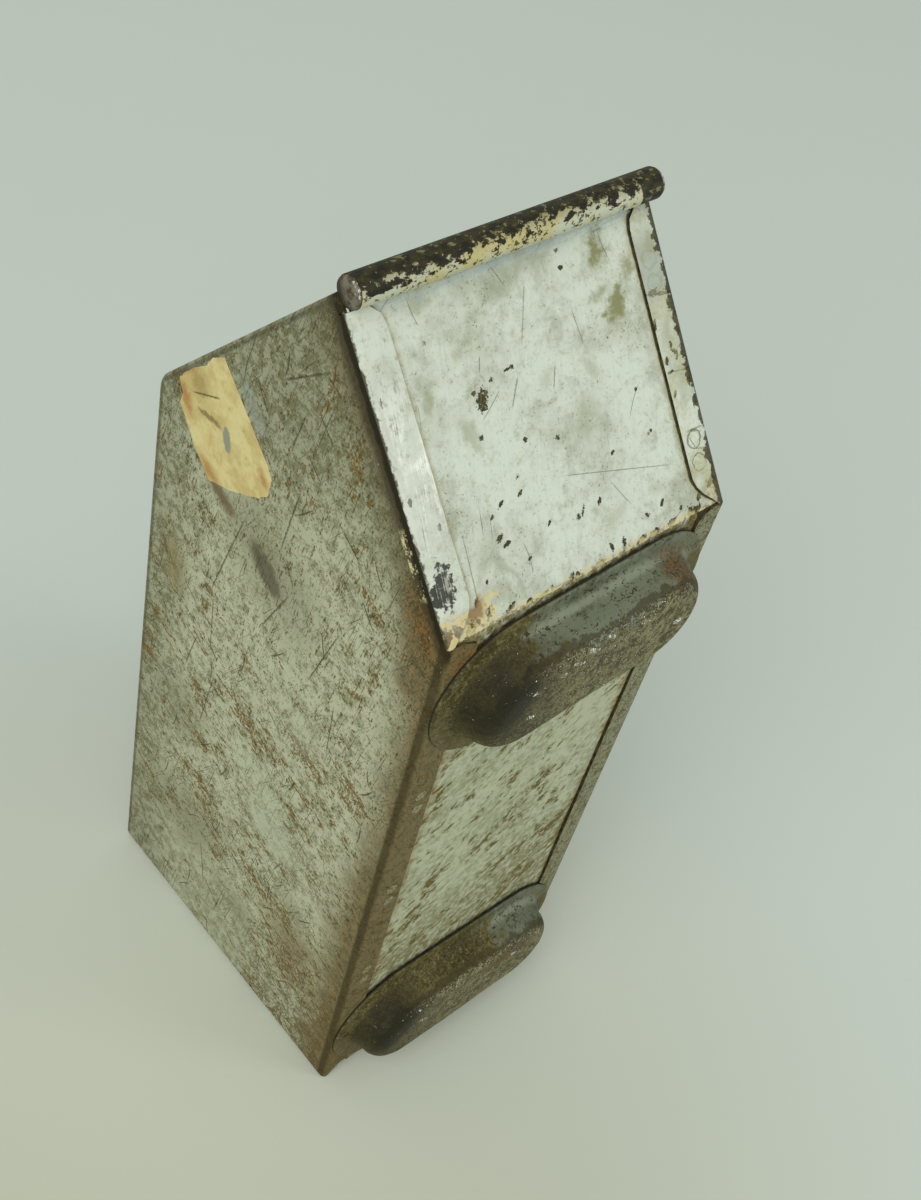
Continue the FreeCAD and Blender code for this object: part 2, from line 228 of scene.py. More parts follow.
class Coat:
    def __init__(self, name):
        self.material = bpy.data.materials.new(name)
        self.material.use_nodes = True
        self.tree = self.material.node_tree
        self.tree.nodes.clear()

    def node(self, kind, settings=None, sockets=(), out=0):
        pairs = sockets.items() if isinstance(sockets, dict) else enumerate(sockets)
        plain = {key: getattr(value, "socket", value) for key, value in pairs}
        return Flow(self, addNode(self.tree, kind, settings, plain).outputs[out])

    def measure(self):
        # The place in mm, and its three parts
        metres = self.node("ShaderNodeTexCoord", out="Object")
        scaled = self.node("ShaderNodeVectorMath", {"operation": "MULTIPLY"}, [metres, (1000, 1000, 1000)])
        place = self.node("ShaderNodeVectorMath", {"operation": "ADD"}, [scaled, (0, shell["middle"], 0)])
        return place, *self.split(place)

    def split(self, vector):
        first = self.node("ShaderNodeSeparateXYZ", None, [vector])
        return first, first.other("Y"), first.other("Z")

    def join(self, x, y, z=0.0):
        return self.node("ShaderNodeCombineXYZ", None, [x, y, z])

    def local(self, spot, middle, degrees, size):
        turn = math.radians(degrees)
        cosine, sine = math.cos(turn), math.sin(turn)
        u = self.along(spot, middle, (cosine / size[0], sine / size[0]))
        return u, self.along(spot, middle, (-sine / size[1], cosine / size[1]))

    def along(self, spot, middle, way):
        start = -(middle[0] * way[0] + middle[1] * way[1])
        return spot[0].maths("MULTIPLY_ADD", way[0], spot[1].maths("MULTIPLY_ADD", way[1], start))

    def noise(self, vector, size, detail=2.0, rough=0.5, twist=0.0):
        sockets = {"Vector": vector, "Scale": 1 / size, "Detail": detail, "Roughness": rough, "Distortion": twist}
        return self.node("ShaderNodeTexNoise", None, sockets, "Fac")

    def noises(self, vector, *kinds):
        return [self.noise(vector, *kind) for kind in kinds]

    def grain(self, spot, degrees, length, width, seed, detail=3.0):
        u, v = self.local(spot, (seed, seed * 0.7), degrees, (length, width))
        return self.noise(self.join(u, v), 1.0, detail, 0.55)

    def mix(self, share, *colours):
        first, second = [colour if isinstance(colour, Flow) else tone(colour) for colour in colours]
        return self.node("ShaderNodeMix", {"data_type": "RGBA"}, {0: share, 6: first, 7: second}, 2)

    def shift(self, value, low, high, first, second):
        return self.mix(value.band(low, high), first, second)

    def lay(self, share, colour):
        self.colour = self.mix(share, self.colour, colour)

    def blot(self, spot, middle, degrees, size, ragged, soft=0.5):
        u, v = self.local(spot, middle, degrees, size)
        reach = (u * u + v * v) ** 0.5 + ragged
        return reach.band(1.0, soft)

    def stroke(self, spot, first, last, width, ragged):
        span = (last[0] - first[0], last[1] - first[1])
        middle = ((first[0] + last[0]) / 2, (first[1] + last[1]) / 2)
        degrees = math.degrees(math.atan2(span[1], span[0]))
        u, v = self.local(spot, middle, degrees, (math.hypot(*span) / 2, width))
        return abs(v + ragged).band(1.0, 0.2) * abs(u).band(1.0, 0.6)

    def cells(self, place, cell, seed):
        spot = self.join(place[0] * (1 / cell) + seed, place[1] * (1 / cell) - seed)
        found = self.node("ShaderNodeTexVoronoi", {"voronoi_dimensions": "2D"}, {"Vector": spot, "Scale": 1.0})
        return spot, found, self.node("ShaderNodeSeparateColor", None, [found.other("Color")])

    def scratches(self, place, cell, heading, spread, width, share, seed):
        spot, found, luck = self.cells(place, cell, seed)
        away = self.node("ShaderNodeVectorMath", {"operation": "SUBTRACT"}, [spot, found.other("Position")])
        dx, dy, _ = self.split(away)
        turnLuck, bendLuck = luck.other("Green"), luck.other("Blue")
        angle = (turnLuck - 0.5) * (2 * math.radians(spread)) + math.radians(heading)
        cosine, sine = angle.maths("COSINE"), angle.maths("SINE")
        along = dx * cosine + dy * sine
        across = dy * cosine - dx * sine + along * along * (bendLuck - 0.5)
        taper = abs(along).band(0.42, 0.15)
        line = (abs(across) - taper * (width / cell)).band(width * 0.5 / cell, 0.0)
        return line * taper * luck.band(1 - share, 1.02 - share)

    def spots(self, place, cell, size, share, ragged, seed):
        _, found, luck = self.cells(place, cell, seed)
        kept = luck.band(1 - share, 1.02 - share)
        return (found + ragged - luck.other("Green") * (size / cell)).band(0.06, 0.0) * kept

    def finish(self, rough, metal=0.0, height=None, depth=0.0002, gloss=0.18):
        sockets = {"Base Color": self.colour, "Roughness": rough, "Metallic": metal, "Specular IOR Level": gloss}
        if height is not None:
            relief = {"Strength": 1.0, "Distance": depth, "Height": height}
            sockets["Normal"] = self.node("ShaderNodeBump", None, relief)
        shader = self.node("ShaderNodeBsdfPrincipled", None, sockets)
        end = self.tree.nodes.new("ShaderNodeOutputMaterial")
        self.tree.links.new(shader.socket, end.inputs["Surface"])
        return self.material


# Paint colours, as the eye sees them in soft daylight
tones = {
    "white": (205, 212, 197), "whiteShade": (184, 190, 172), "pale": (184, 186, 158),
    "grey": (162, 164, 134), "olive": (104, 98, 60), "rust": (132, 103, 46), "deep": (74, 61, 28),
    "black": (34, 30, 16), "metal": (218, 218, 210), "blueGrey": (146, 153, 138),
}


def frontDepthOf(y, z):
    return y * math.cos(slope) - (z - shell["underside"]) * math.sin(slope)


def frontRunOf(y, z):
    return y * math.sin(slope) + (z - shell["underside"]) * math.cos(slope)


# Spot welds in pairs along the flanges and round the feet
weld = {
    "reach": 52.3, "pairGap": 7.5, "radius": 2.5, "footRadius": 1.8, "height": 0.09, "dish": 0.02, "topShare": 0.8,
    "bowlRim": 0.72, "bowlFloor": 0.3, "smallest": 0.92, "largest": 1.06, "sides": 28, "sharp": 40, "seed": 5,
    "frontMargin": 20.0, "floorMargin": 80.0, "backMargin": 26.0, "underReach": 33.1, "underPlace": 8.7,
    "footReach": 51.8, "footRise": 14.25,
}


def weldPlaces(first, last, pairs):
    middles = [first + (last - first) * index / (pairs - 1) for index in range(pairs)]
    return [middle + end * weld["pairGap"] / 2 for middle in middles for end in (-1, 1)]


weld["frontPlaces"] = weldPlaces(weld["frontMargin"], frontTop - weld["frontMargin"], 2)


# White brush paint of the front and its flanges, with a painted highlight on the left flange
frontMarks = {
    "chips": [
        ((-23, 61.7), 62, (3.2, 1.8)), ((-25.2, 64.6), 30, (1, 0.6)), ((18, 88.6), 20, (0.9, 0.7)),
        ((-11.5, 67.1), 10, (1.5, 0.4)), ((-12.1, 46.3), 10, (0.8, 0.7)), ((-19.2, 32.5), 30, (1.2, 0.6)),
        ((19.1, 31.2), 0, (0.8, 0.6)), ((-27.1, 32), 30, (1.4, 0.6)), ((-30.8, 23), 20, (1.5, 0.9)),
        ((-28.8, 20.4), 5, (1.7, 0.7)), ((9.1, 19.3), 50, (1.4, 0.6)), ((34.6, 46), 15, (0.7, 0.5)),
        ((9.1, 4.7), 100, (1.5, 0.7)), ((14.2, 3.4), 75, (2.3, 0.9)), ((21.6, 2), 10, (2.4, 0.9)),
        ((27.4, 1.9), 20, (2.8, 0.9)), ((44.1, 2.6), 60, (2, 1.2)), ((40.6, 5.1), 40, (1, 0.6)),
        ((-9.2, 1.9), 65, (1.5, 0.9)), ((-6.6, 1.7), 70, (1.3, 0.8)), ((-33.8, 2.9), 15, (2.2, 0.9)),
        ((-26.6, 1.6), 30, (1.3, 0.8)), ((-17.2, 2.2), 70, (1, 0.5)), ((-48, 34.1), 80, (1, 0.7)),
        ((-39.4, 13.2), 60, (1, 0.5)), ((-22.1, 13.6), 30, (1.2, 0.5)), ((-31.4, 29.6), 20, (0.8, 0.6)),
        ((1.8, 18.9), 60, (1.5, 0.6)), ((-11.7, 20.5), 40, (1, 0.5)), ((36.4, 32.1), 0, (0.6, 0.5)),
        ((49.5, 6), 50, (1.6, 0.9)), ((33.5, 9.5), 60, (1.2, 0.6)), ((47, 2.2), 15, (3.2, 1.3)),
        ((35.5, 2.2), 20, (2.2, 0.9)), ((3, 1.6), 10, (2, 0.8)), ((-20.5, 1.5), 20, (1.8, 0.7)),
        ((-41, 5), 50, (1.6, 1)), ((-49.5, 2.6), 40, (3, 1.4)), ((-45, 9), 60, (1.6, 0.8)),
    ],
    "stains": [
        ((33.5, 90.5), 84, (9, 6), 1), ((35, 71.5), 60, (11, 5), 1), ((30.5, 77.5), 20, (7, 2.6), 0.7),
        ((44, 83), 70, (8, 4), 0.75), ((-35.2, 93.5), 20, (6, 3.5), 0.45), ((-24.2, 78.2), 30, (7, 3), 0.4),
        ((13.1, 45.6), 60, (9, 6), 0.35), ((46.6, 25.4), 86, (9, 2.4), 0.6), ((-41.7, 67), 70, (6, 2.4), 0.45),
        ((-30.6, 54.7), 110, (8, 3), 0.45), ((-5, 90), 10, (9, 4), 0.35), ((2, 60), 40, (7, 3), 0.3),
        ((20, 57), 120, (6, 3), 0.35), ((-38, 20), 60, (8, 4), 0.3), ((12, 12), 20, (10, 4), 0.3),
    ],
    "lines": [
        ((3.3, 88.9), (-4.2, 71), 0.22), ((-19.6, 74), (-21.5, 68.9), 0.3), ((-8, 64.5), (-13.8, 55.7), 0.4),
        ((44.1, 18.5), (-5.3, 32.4), 0.2), ((3.1, 55.9), (6.5, 63.3), 0.3), ((-44.5, 6), (-43, 30), 0.25),
    ],
}
flangeMarks = {
    "chips": [
        ((52.6, 54.3), 80, (1.4, 0.6)), ((54, 50.4), 60, (1.2, 0.6)), ((53.2, 52.4), 20, (0.8, 0.6)),
        ((50.3, 71.4), 10, (2.2, 1.1)), ((53.5, 70.3), 170, (3.8, 0.5)), ((56.9, 35.2), 80, (1.8, 1)),
        ((57.1, 57.5), 80, (1.4, 0.8)), ((56.4, 41.6), 80, (1.3, 0.9)), ((48, 61.9), 80, (1.7, 0.8)),
        ((49.2, 50), 70, (1.4, 0.7)), ((49.2, 39.4), 60, (1.1, 0.5)), ((49.4, 46.4), 5, (1.5, 0.4)),
        ((56.1, 45.5), 0, (1.2, 0.4)), ((56.8, 78), 80, (1.4, 0.6)), ((-50.5, 34), 80, (0.9, 0.6)),
        ((-57.4, 44), 80, (1.4, 0.6)), ((-57, 72), 80, (1.2, 0.5)), ((54.8, 8.6), 40, (1.8, 0.9)),
    ],
    "stains": [
        ((53.5, 86.9), 80, (6, 2.6), 0.45), ((52, 58), 80, (9, 3), 0.35), ((53, 41), 80, (8, 2.6), 0.3),
    ],
    "lines": [
        ((49.4, 26.8), (57.8, 26.6), 0.4), ((51.8, 20.8), (57.5, 19.2), 0.4),
        ((50.2, 25.4), (52.4, 20.6), 0.35), ((49, 46.5), (56.5, 45.4), 0.3),
    ],
}


def flangeShare(coat, run):
    # The flange's width along the front, as endWidth gives it to the sheet
    def climb(low, high):
        return coat.node("ShaderNodeMapRange", None, {"Value": run, "From Min": low, "From Max": high})

    rising = climb(flange["start"], flange["start"] + flange["lead"])
    falling = climb(frontTop, frontTop - flange["topRound"])
    arc = (falling * (2 - falling)) ** 0.5
    return (rising * (2 - rising)).least(arc * (1 - flange["topShare"]) + flange["topShare"])


def frontLayers(coat, place, x, run, marks):
    spot = (x, run)
    cloud, blur, grit, fine = coat.noises(place, (24, 3), (5, 4, 0.62), (1.8, 2, 0.55), (0.8, 2, 0.7))
    brush = coat.grain(spot, 78, 26, 1.6, 3)
    coat.colour = coat.shift(cloud * 0.6 + blur * 0.4, 0.4, 0.66, tones["white"], tones["whiteShade"])
    coat.lay(brush.band(0.5, 0.72) * 0.25, (178, 184, 160))
    smudge = coat.noise(place, 11, 4, 0.68, 0.8) + grit.sway(0.2) + cloud.sway(0.4)
    coat.lay(smudge.band(0.46, 0.72) * 0.52, (144, 149, 126))
    coat.lay((fine * 0.5 + grit * 0.3 + blur * 0.2).band(0.5, 0.66) * 0.4, (146, 150, 126))
    for middle, degrees, size, share in marks["stains"]:
        mark = coat.blot(spot, middle, degrees, size, blur.sway(3) + grit.sway(0.9), 0.1)
        coat.lay(mark * share, (132, 132, 88))
    hair = coat.scratches(spot, 19, 72, 50, 0.1, 0.4, 4)
    hair = hair.most(coat.grain(spot, 80, 18, 0.4, 14, 1).band(0.7, 0.78) * cloud.band(0.45, 0.6))
    for first, last, width in marks["lines"]:
        hair = hair.most(coat.stroke(spot, first, last, width, fine.sway(2)))
    coat.lay(hair * 0.65, (92, 94, 74))
    dust = (fine + cloud.sway(0.3) + blur.sway(0.25)).band(0.66, 0.72)
    coat.lay(dust * 0.7, (104, 98, 68))
    chips = (blur * 0.4 + grit * 0.6).band(0.705, 0.72)
    chips = chips.most(coat.spots(spot, 9, 0.5, 0.1, fine.sway(0.3), 5))
    jag = grit.sway(1.8) + fine.sway(2.2)
    for middle, degrees, size in marks["chips"]:
        chips = chips.most(coat.blot(spot, middle, degrees, size, jag, 0.85))
    halo = (grit + blur.sway(0.4) + chips * 0.3).band(0.62, 0.8)
    coat.lay(halo * 0.3, (186, 172, 116))
    coat.lay(chips * 0.96, coat.shift(fine + blur.sway(0.6), 0.45, 0.6, (40, 38, 14), (86, 77, 36)))
    height = brush * 0.3 + blur * 0.3 - chips - hair * 0.3
    return chips, height


def makeFrontPaint():
    coat = Coat("frontPaint")
    place, x, y, z = coat.measure()
    run = frontRunOf(y, z)
    chips, height = frontLayers(coat, place, x, run, frontMarks)
    blur = coat.noise(place, 3, 3)
    lowEdge = (run + blur.sway(5)).band(3.4, 1.2)
    lowEdge = lowEdge.most(coat.blot((x, run), (-46, 4), 15, (12, 7), blur.sway(3), 0.4))
    coat.lay(lowEdge * 0.8, coat.shift(blur, 0.5, 0.58, (208, 196, 140), (116, 84, 36)))
    scab = coat.blot((x, run), (-46.6, 7.2), 30, (6, 4), blur.sway(2.6), 0.2)
    coat.lay(scab * 0.8, (126, 92, 42))
    reach = shell["halfWidth"] - flange["tip"] - flangeShare(coat, run) * (flange["width"] - flange["tip"])
    stain = (abs(x) - reach + blur.sway(4)).band(-2.6, -0.2)
    coat.lay(stain * 0.55, (168, 156, 102))
    seam = (abs(x) - reach + blur.sway(0.9)).band(-0.75, -0.3) * x.band(-6, 6)
    seam = seam.most((abs(x) - reach).band(-0.45, -0.2) * blur.band(0.36, 0.5) * 0.8)
    coat.lay(seam * 0.9, (58, 56, 30))
    top = (run + blur.sway(6)).band(frontTop - 4.1, frontTop - 1.1)
    streak = coat.grain((x, run), 4, 22, 0.8, 6).band(0.42, 0.6)
    coat.lay(top * streak * 0.8, (172, 190, 196))
    under = (run + blur.sway(1.6)).band(0.9, 0.1)
    coat.lay(under * 0.9, (92, 80, 44))
    rough = 0.45 + chips * 0.35 + blur * 0.12
    return coat.finish(rough, 0, height, 0.00025, 0.3)


def makeFlangePaint():
    coat = Coat("flangePaint")
    place, x, y, z = coat.measure()
    depth, run = frontDepthOf(y, z), frontRunOf(y, z)
    chips, height = frontLayers(coat, place, x, run, flangeMarks)
    patch, blur = coat.noises(place, (12, 4, 0.6), (2.6, 4, 0.65))
    left = x.band(5, -5)
    brushed = coat.grain((x, run), 84, 16, 0.6, 21)
    rubbedSheen = (brushed * 0.4 + patch * 0.6 + blur.sway(0.3)).band(0.44, 0.6) * left * abs(run - 54).band(34, 10)
    # Painted highlight: the left flange is lifted lighter, and its rubbed middle gets a bright metal sheen
    coat.lay(left * 0.3, (204, 209, 194))
    coat.lay(rubbedSheen * 0.5, tones["metal"])
    grey = (brushed * 0.3 + blur * 0.7).band(0.48, 0.34) * left * patch.band(0.4, 0.56)
    coat.lay(grey * 0.7, (134, 136, 118))
    old = (patch + blur.sway(0.6)).band(0.42, 0.62) * (1 - left)
    coat.lay(old * 0.55, (176, 172, 124))
    shaded = (abs(run - 79) + blur.sway(10) + patch.sway(14)).band(14, 5) * (1 - left)
    coat.lay(shaded * 0.55, (138, 144, 128))
    for seat in weld["frontPlaces"]:
        u, v = coat.local((abs(x), run), (weld["reach"], seat), 0, (weld["radius"], weld["radius"]))
        ring = (abs((u * u + v * v) ** 0.5 - 1.15 + blur.sway(0.9)) + patch.sway(0.5)).band(0.18, 0.06)
        coat.lay(ring * (0.7 - left * 0.66) * (1 if seat < 40 else 0.2), (88, 82, 50))
    black = coat.blot((x, run), (-54.9, 17.6), 80, (7.4, 3.8), patch.sway(1.4) + blur.sway(3), 0.8)
    coat.lay(black * 0.95, coat.shift(brushed * 0.5 + blur * 0.5, 0.5, 0.58, (40, 40, 30), (150, 151, 138)))
    corner = (run + blur.sway(14)).band(11, 5) * (0.5 + left * 0.5)
    coat.lay(corner * 0.85, coat.shift(blur, 0.47, 0.52, (206, 188, 126), (108, 80, 36)))
    outer = (depth + blur.sway(2.4) + patch.sway(1.2)).band(0.7, 1.2)
    farEdge = (x + blur.sway(9) + patch.sway(7)).band(56.2, 57)
    outer = outer.most(farEdge)
    coat.lay(outer * 0.95, coat.shift(blur, 0.4, 0.6, (36, 34, 18), (74, 70, 42)))
    rough = 0.48 + chips * 0.3 - rubbedSheen * 0.15 + outer * 0.2
    return coat.finish(rough, rubbedSheen * 0.25, height + brushed * 0.12, 0.00025, 0.3)


# Worn grey paint of the sides, with painted shade on them
sideMarks = {
    "shades": [
        ((50, 114), 40, (38, 26), 0.75, (180, 184, 158)), ((31, 62), 60, (36, 26), 0.62, (108, 86, 40)),
        ((100, 66), 150, (42, 26), 0.5, (104, 98, 64)), ((78, 238), 30, (42, 28), 0.45, (104, 100, 74)),
        ((66, 44), 20, (20, 14), 0.4, (108, 98, 60)), ((52, 182), 20, (22, 18), 0.5, (180, 182, 156)),
        ((112, 122), 90, (26, 22), 0.4, (106, 102, 74)),
    ],
    "scratches": [
        ((84.8, 308.2), (65.1, 326.4), 0.6), ((74.3, 244.2), (68.7, 278.6), 0.5),
        ((105.2, 194.8), (90.8, 249.8), 0.5), ((102.6, 198.8), (100.7, 167.5), 0.4),
        ((77.6, 205.8), (65.5, 235), 0.5), ((52.1, 203.3), (41, 241.7), 0.45),
        ((51.7, 280.3), (37.7, 271.7), 0.4), ((114.1, 147.3), (108.6, 171.3), 0.4),
        ((75.8, 287.9), (71.7, 305.9), 0.4), ((36.3, 181), (37.9, 209), 0.4), ((27.8, 80.2), (6.3, 71), 0.5),
        ((92.5, 59.5), (86.6, 30.1), 0.4), ((62.4, 18.1), (30.6, 18.4), 0.4),
        ((102.6, 123.3), (96.7, 160.8), 0.4), ((95.5, 302.5), (87, 291.5), 0.4),
    ],
    "rust": [
        ((69.8, 155.4), 16, (32, 8)), ((45.9, 169.8), 16, (24, 8)), ((22.2, 176.6), 30, (14, 9)),
        ((92.1, 86.6), 60, (30, 12)), ((52, 73.5), 14, (30, 14)), ((36.2, 47.9), 8, (34, 18)),
        ((35.1, 116.8), 30, (26, 11)), ((128.9, 53.6), 80, (28, 9)),
    ],
}


def makeSidePaint():
    coat = Coat("sidePaint")
    place, x, y, z = coat.measure()
    inset = shell["halfWidth"] - abs(x)
    spot = (y + inset, z + inset)
    depth, run = frontDepthOf(y, z), frontRunOf(y, z)
    edge = coat.along(spot, rimCorner, intoNose).least(shell["depth"] - y)
    cloud, patch, blur, fine = coat.noises(place, (55, 2), (14, 4, 0.6), (3.6, 4, 0.66), (0.9, 2, 0.7))
    left = x.band(5, -5)

    # Painted shade: the side darkens towards its front end and its rim, and a little towards the back
    shadeGradient = (z + cloud.sway(70)).band(245, 315) + (y + patch.sway(30)).band(104, 138) * 0.85
    shadeGradient = (shadeGradient + (z + patch.sway(40)).band(75, 10) * 0.4).least(1)
    coat.colour = coat.shift(blur + patch.sway(0.5), 0.36, 0.62, tones["pale"], tones["grey"])
    coat.lay(shadeGradient * 0.85, coat.shift(blur, 0.4, 0.6, (144, 146, 120), (116, 116, 90)))
    wear = blur * 0.55 + fine * 0.45
    quiet = (z + patch.sway(40)).band(80, 35) * (y + patch.sway(30)).band(48, 64) * 0.5
    cover = (wear + shadeGradient * 0.05 + patch.sway(0.2) - quiet * 0.08).band(0.5, 0.6)
    coat.lay(cover * 0.52, tones["olive"])

    lane = coat.grain(spot, 15, 34, 5, 2).band(0.46, 0.64) * z.band(250, 170)
    steep = coat.grain(spot, 98, 34, 4, 6).band(0.48, 0.64) * z.band(110, 220)
    rusty = patch.band(0.5, 0.7)
    for middle, degrees, size in sideMarks["rust"]:
        rusty = rusty.most(coat.blot(spot, middle, degrees, size, patch.sway(1.6), 0.1))
    dash = coat.grain(spot, 15, 3.4, 1.4, 2) + lane * 0.13 - z.band(160, 260) * 0.06
    dash = dash.most(coat.grain(spot, 56, 3, 1.1, 5) - 0.02)
    dash = dash.most(coat.grain(spot, 100, 4, 0.9, 8) + steep * 0.1 - z.band(200, 90) * 0.08)
    flecks = (dash + fine.sway(0.22) + rusty * 0.13 - quiet * 0.14).band(0.65, 0.69)
    grit = (fine + blur.sway(0.3) - quiet * 0.05).band(0.68, 0.74)
    coat.lay(grit * 0.65, tones["deep"])
    coat.lay(flecks * 0.85, coat.shift(fine + blur.sway(0.5), 0.42, 0.68, tones["rust"], tones["deep"]))

    bundle = coat.noise(place, 30, 2).band(0.42, 0.58)
    lines = coat.grain(spot, 101, 30, 0.5, 3, 1).band(0.65, 0.72)
    lines = lines.most(coat.grain(spot, 122, 22, 0.45, 7, 1).band(0.66, 0.73))
    lines = lines.most(coat.grain(spot, 24, 20, 0.45, 12, 1).band(0.69, 0.77)) * bundle
    lines = lines.most(coat.scratches(spot, 17, 85, 50, 0.22, 0.35, 6))
    for first, last, width in sideMarks["scratches"]:
        lines = lines.most(coat.stroke(spot, first, last, width, fine.sway(2.4)) * left)
    coat.lay(lines * 0.75, (64, 56, 30))
    bright = coat.grain(spot, 82, 20, 0.45, 17, 1).band(0.69, 0.77) * (1 - bundle)
    coat.lay(bright * 0.5, tones["pale"])

    bruise = coat.blot(spot, (79.5, 233.5), 34, (13, 6), blur.sway(1.6), 0.55) * left
    coat.lay(bruise * 0.85, (82, 76, 62))
    tail = coat.blot(spot, (104.5, 244), 20, (12, 4.6), blur.sway(2.2), 0.3) * left
    coat.lay(tail * 0.85, (104, 76, 48))
    ochre = coat.blot(spot, (125.9, 192.9), 80, (22, 10), patch.sway(1.8) + (blur - 0.5), 0)
    coat.lay(ochre * 0.6, (132, 116, 64))
    for middle, degrees, size, share, shade in sideMarks["shades"]:
        shaded = coat.blot(spot, middle, degrees, size, patch.sway(1.4) + blur.sway(0.8), 0)
        coat.lay(shaded * share, shade)
    clean = coat.blot(spot, (94.5, 289.5), 42, (18, 5), blur.sway(1.4), 0.2) * left
    coat.lay(clean * 0.6, tones["blueGrey"])

    narrow = abs(z - 188).band(70, 30) - z.band(236, 262)
    lower = (y + patch.sway(30) + blur.sway(18) + narrow * 5).band(24, 5)
    stale = coat.mix(left, (146, 148, 118), (116, 94, 46))
    coat.lay(lower * 0.85, coat.shift(wear, 0.4, 0.6, stale, (78, 66, 36)))
    upper = (depth + patch.sway(30) + blur.sway(12)).band(22, 3) * y.band(1, 4)
    coat.lay(upper * 0.75, coat.shift(wear, 0.4, 0.6, (110, 100, 64), (68, 57, 34)))
    heel = ((y * y + z * z) ** 0.5 + patch.sway(60)).band(80, 6) * wear.band(0.38, 0.58)
    coat.lay(heel * 0.85, (98, 84, 46))
    warm = coat.blot(spot, (11, 272), 50, (15, 9), blur.sway(2) + patch.sway(1.2), 0.1) * left
    coat.lay(warm * 0.8, coat.shift(wear, 0.42, 0.58, (132, 96, 46), (84, 60, 30)))

    # Dirt and painted shade darken the plate towards the front fold, and its crease is painted black
    plate = abs(x).band(57.6, 58.8)
    sootAndShade = (depth + blur.sway(6) + patch.sway(4)).band(7.5, 3.8) * plate
    coat.lay(sootAndShade * 0.85, (64, 54, 32))
    creaseDirtAndShade = (depth + blur.sway(3.4)).band(3.6, 2.4) * plate
    coat.lay(creaseDirtAndShade * 0.94, tones["black"])
    chipped = (blur + fine.sway(0.3)).band(0.5, 0.54) * abs(depth - 4.2).band(2, 1) * abs(run - 26).band(12, 8)
    coat.lay(chipped * left * 0.95, (208, 198, 152))
    # Painted shade: a dark line along the bend to the floor flange
    lowCreaseShade = (abs(y - 1.9) + blur.sway(2.6)).band(1.9, 0.7)
    coat.lay(lowCreaseShade * 0.75, (54, 46, 22))
    glint = fine.band(0.66, 0.7) * abs(depth - 6).band(2.6, 0.6) * patch.band(0.46, 0.56)
    coat.lay(glint, tones["metal"])
    # Painted shade: a dark band along the rolled rim, just inside its edge
    rim = (abs(edge - 1.6) + blur.sway(1.5)).band(1.2, 0.2)
    coat.lay(rim * 0.55, (70, 66, 48))

    rough = 0.55 + lower * 0.15 + flecks * 0.12 + fine * 0.1 - glint * 0.3
    height = wear * 0.6 - lines * 0.5 - flecks * 0.35 - cover * 0.15
    return coat.finish(rough, glint, height, 0.00022)


floorStains = [
    ((38, 102), 60, (16, 7)), ((32, 125), 150, (12, 3)), ((5, 138), 40, (16, 7)), ((24, 74), 20, (30, 12)),
    ((-34, 104), 60, (24, 14)), ((16, 192), 30, (12, 6)), ((-8.5, 126), 40, (10, 5)), ((10, 100), 40, (11, 5)),
    ((-11, 164), 30, (6, 3)), ((-1, 166), 60, (10, 3.5)),
]


def makeFloorPaint():
    coat = Coat("floorPaint")
    place, x, _, z = coat.measure()
    spot = (x, z)
    cloud, patch, blur, fine = coat.noises(place, (40, 2), (12, 4, 0.6), (2.4, 4, 0.62), (0.9, 2, 0.7))
    coat.colour = coat.shift(blur + cloud.sway(0.6), 0.36, 0.66, (184, 188, 160), (156, 158, 129))
    lane = coat.grain(spot, 36, 30, 5, 5).band(0.44, 0.62)
    flecks = coat.grain(spot, 26, 6.4, 1.9, 4, 2).most(coat.grain(spot, 58, 5, 1.6, 9, 2) - 0.02)
    flecks = flecks * 0.55 + blur * 0.45 + lane * 0.06 + patch.sway(0.7) + cloud.sway(0.2) - 0.02
    for middle, degrees, size in floorStains:
        flecks = flecks + coat.blot(spot, middle, degrees, size, patch.sway(1.6), 0.1) * 0.1
    spread = (flecks + fine.sway(0.14)).band(0.625, 0.655)
    stained = flecks.band(0.52, 0.64)
    coat.lay(stained * 0.5, (134, 126, 76))
    coat.lay(spread * 0.85, coat.shift(fine, 0.4, 0.62, (114, 98, 44), (70, 59, 24)))
    specks = (blur * 0.4 + fine * 0.6 + patch.sway(0.24)).band(0.63, 0.67)
    coat.lay(specks * 0.75, (92, 78, 40))
    lines = coat.grain(spot, 36, 24, 0.5, 3, 1).band(0.68, 0.75) * cloud.band(0.42, 0.55)
    lines = lines.most(coat.scratches(spot, 18, 40, 26, 0.22, 0.5, 2))
    coat.lay(lines * 0.6, tones["deep"])
    border = (abs(x) + patch.sway(14) + blur.sway(6)).band(flangeEdge - 5.6, flangeEdge + 0.4)
    coat.lay(border * 0.6, tones["rust"])
    rear = (z + patch.sway(50) - x * 0.2).band(128, 62) * blur.band(0.32, 0.6)
    coat.lay(rear * 0.7, (110, 100, 54))
    foldLine = shell["underside"]
    fold = (z + patch.sway(8)).band(foldLine - 17.5, foldLine - 7.5) * blur.band(0.3, 0.56)
    coat.lay(fold * 0.9, coat.shift(fine, 0.4, 0.6, (124, 112, 68), (82, 70, 38)))
    seam = (abs(x) + blur.sway(0.8)).band(flangeEdge - 0.9, flangeEdge - 0.4) * x.band(-2, 2)
    coat.lay(seam * 0.95, (52, 45, 25))
    rough = 0.5 + spread * 0.25 + fine * 0.1
    return coat.finish(rough, 0, blur * 0.5 - spread * 0.5 - lines * 0.5, 0.0002)


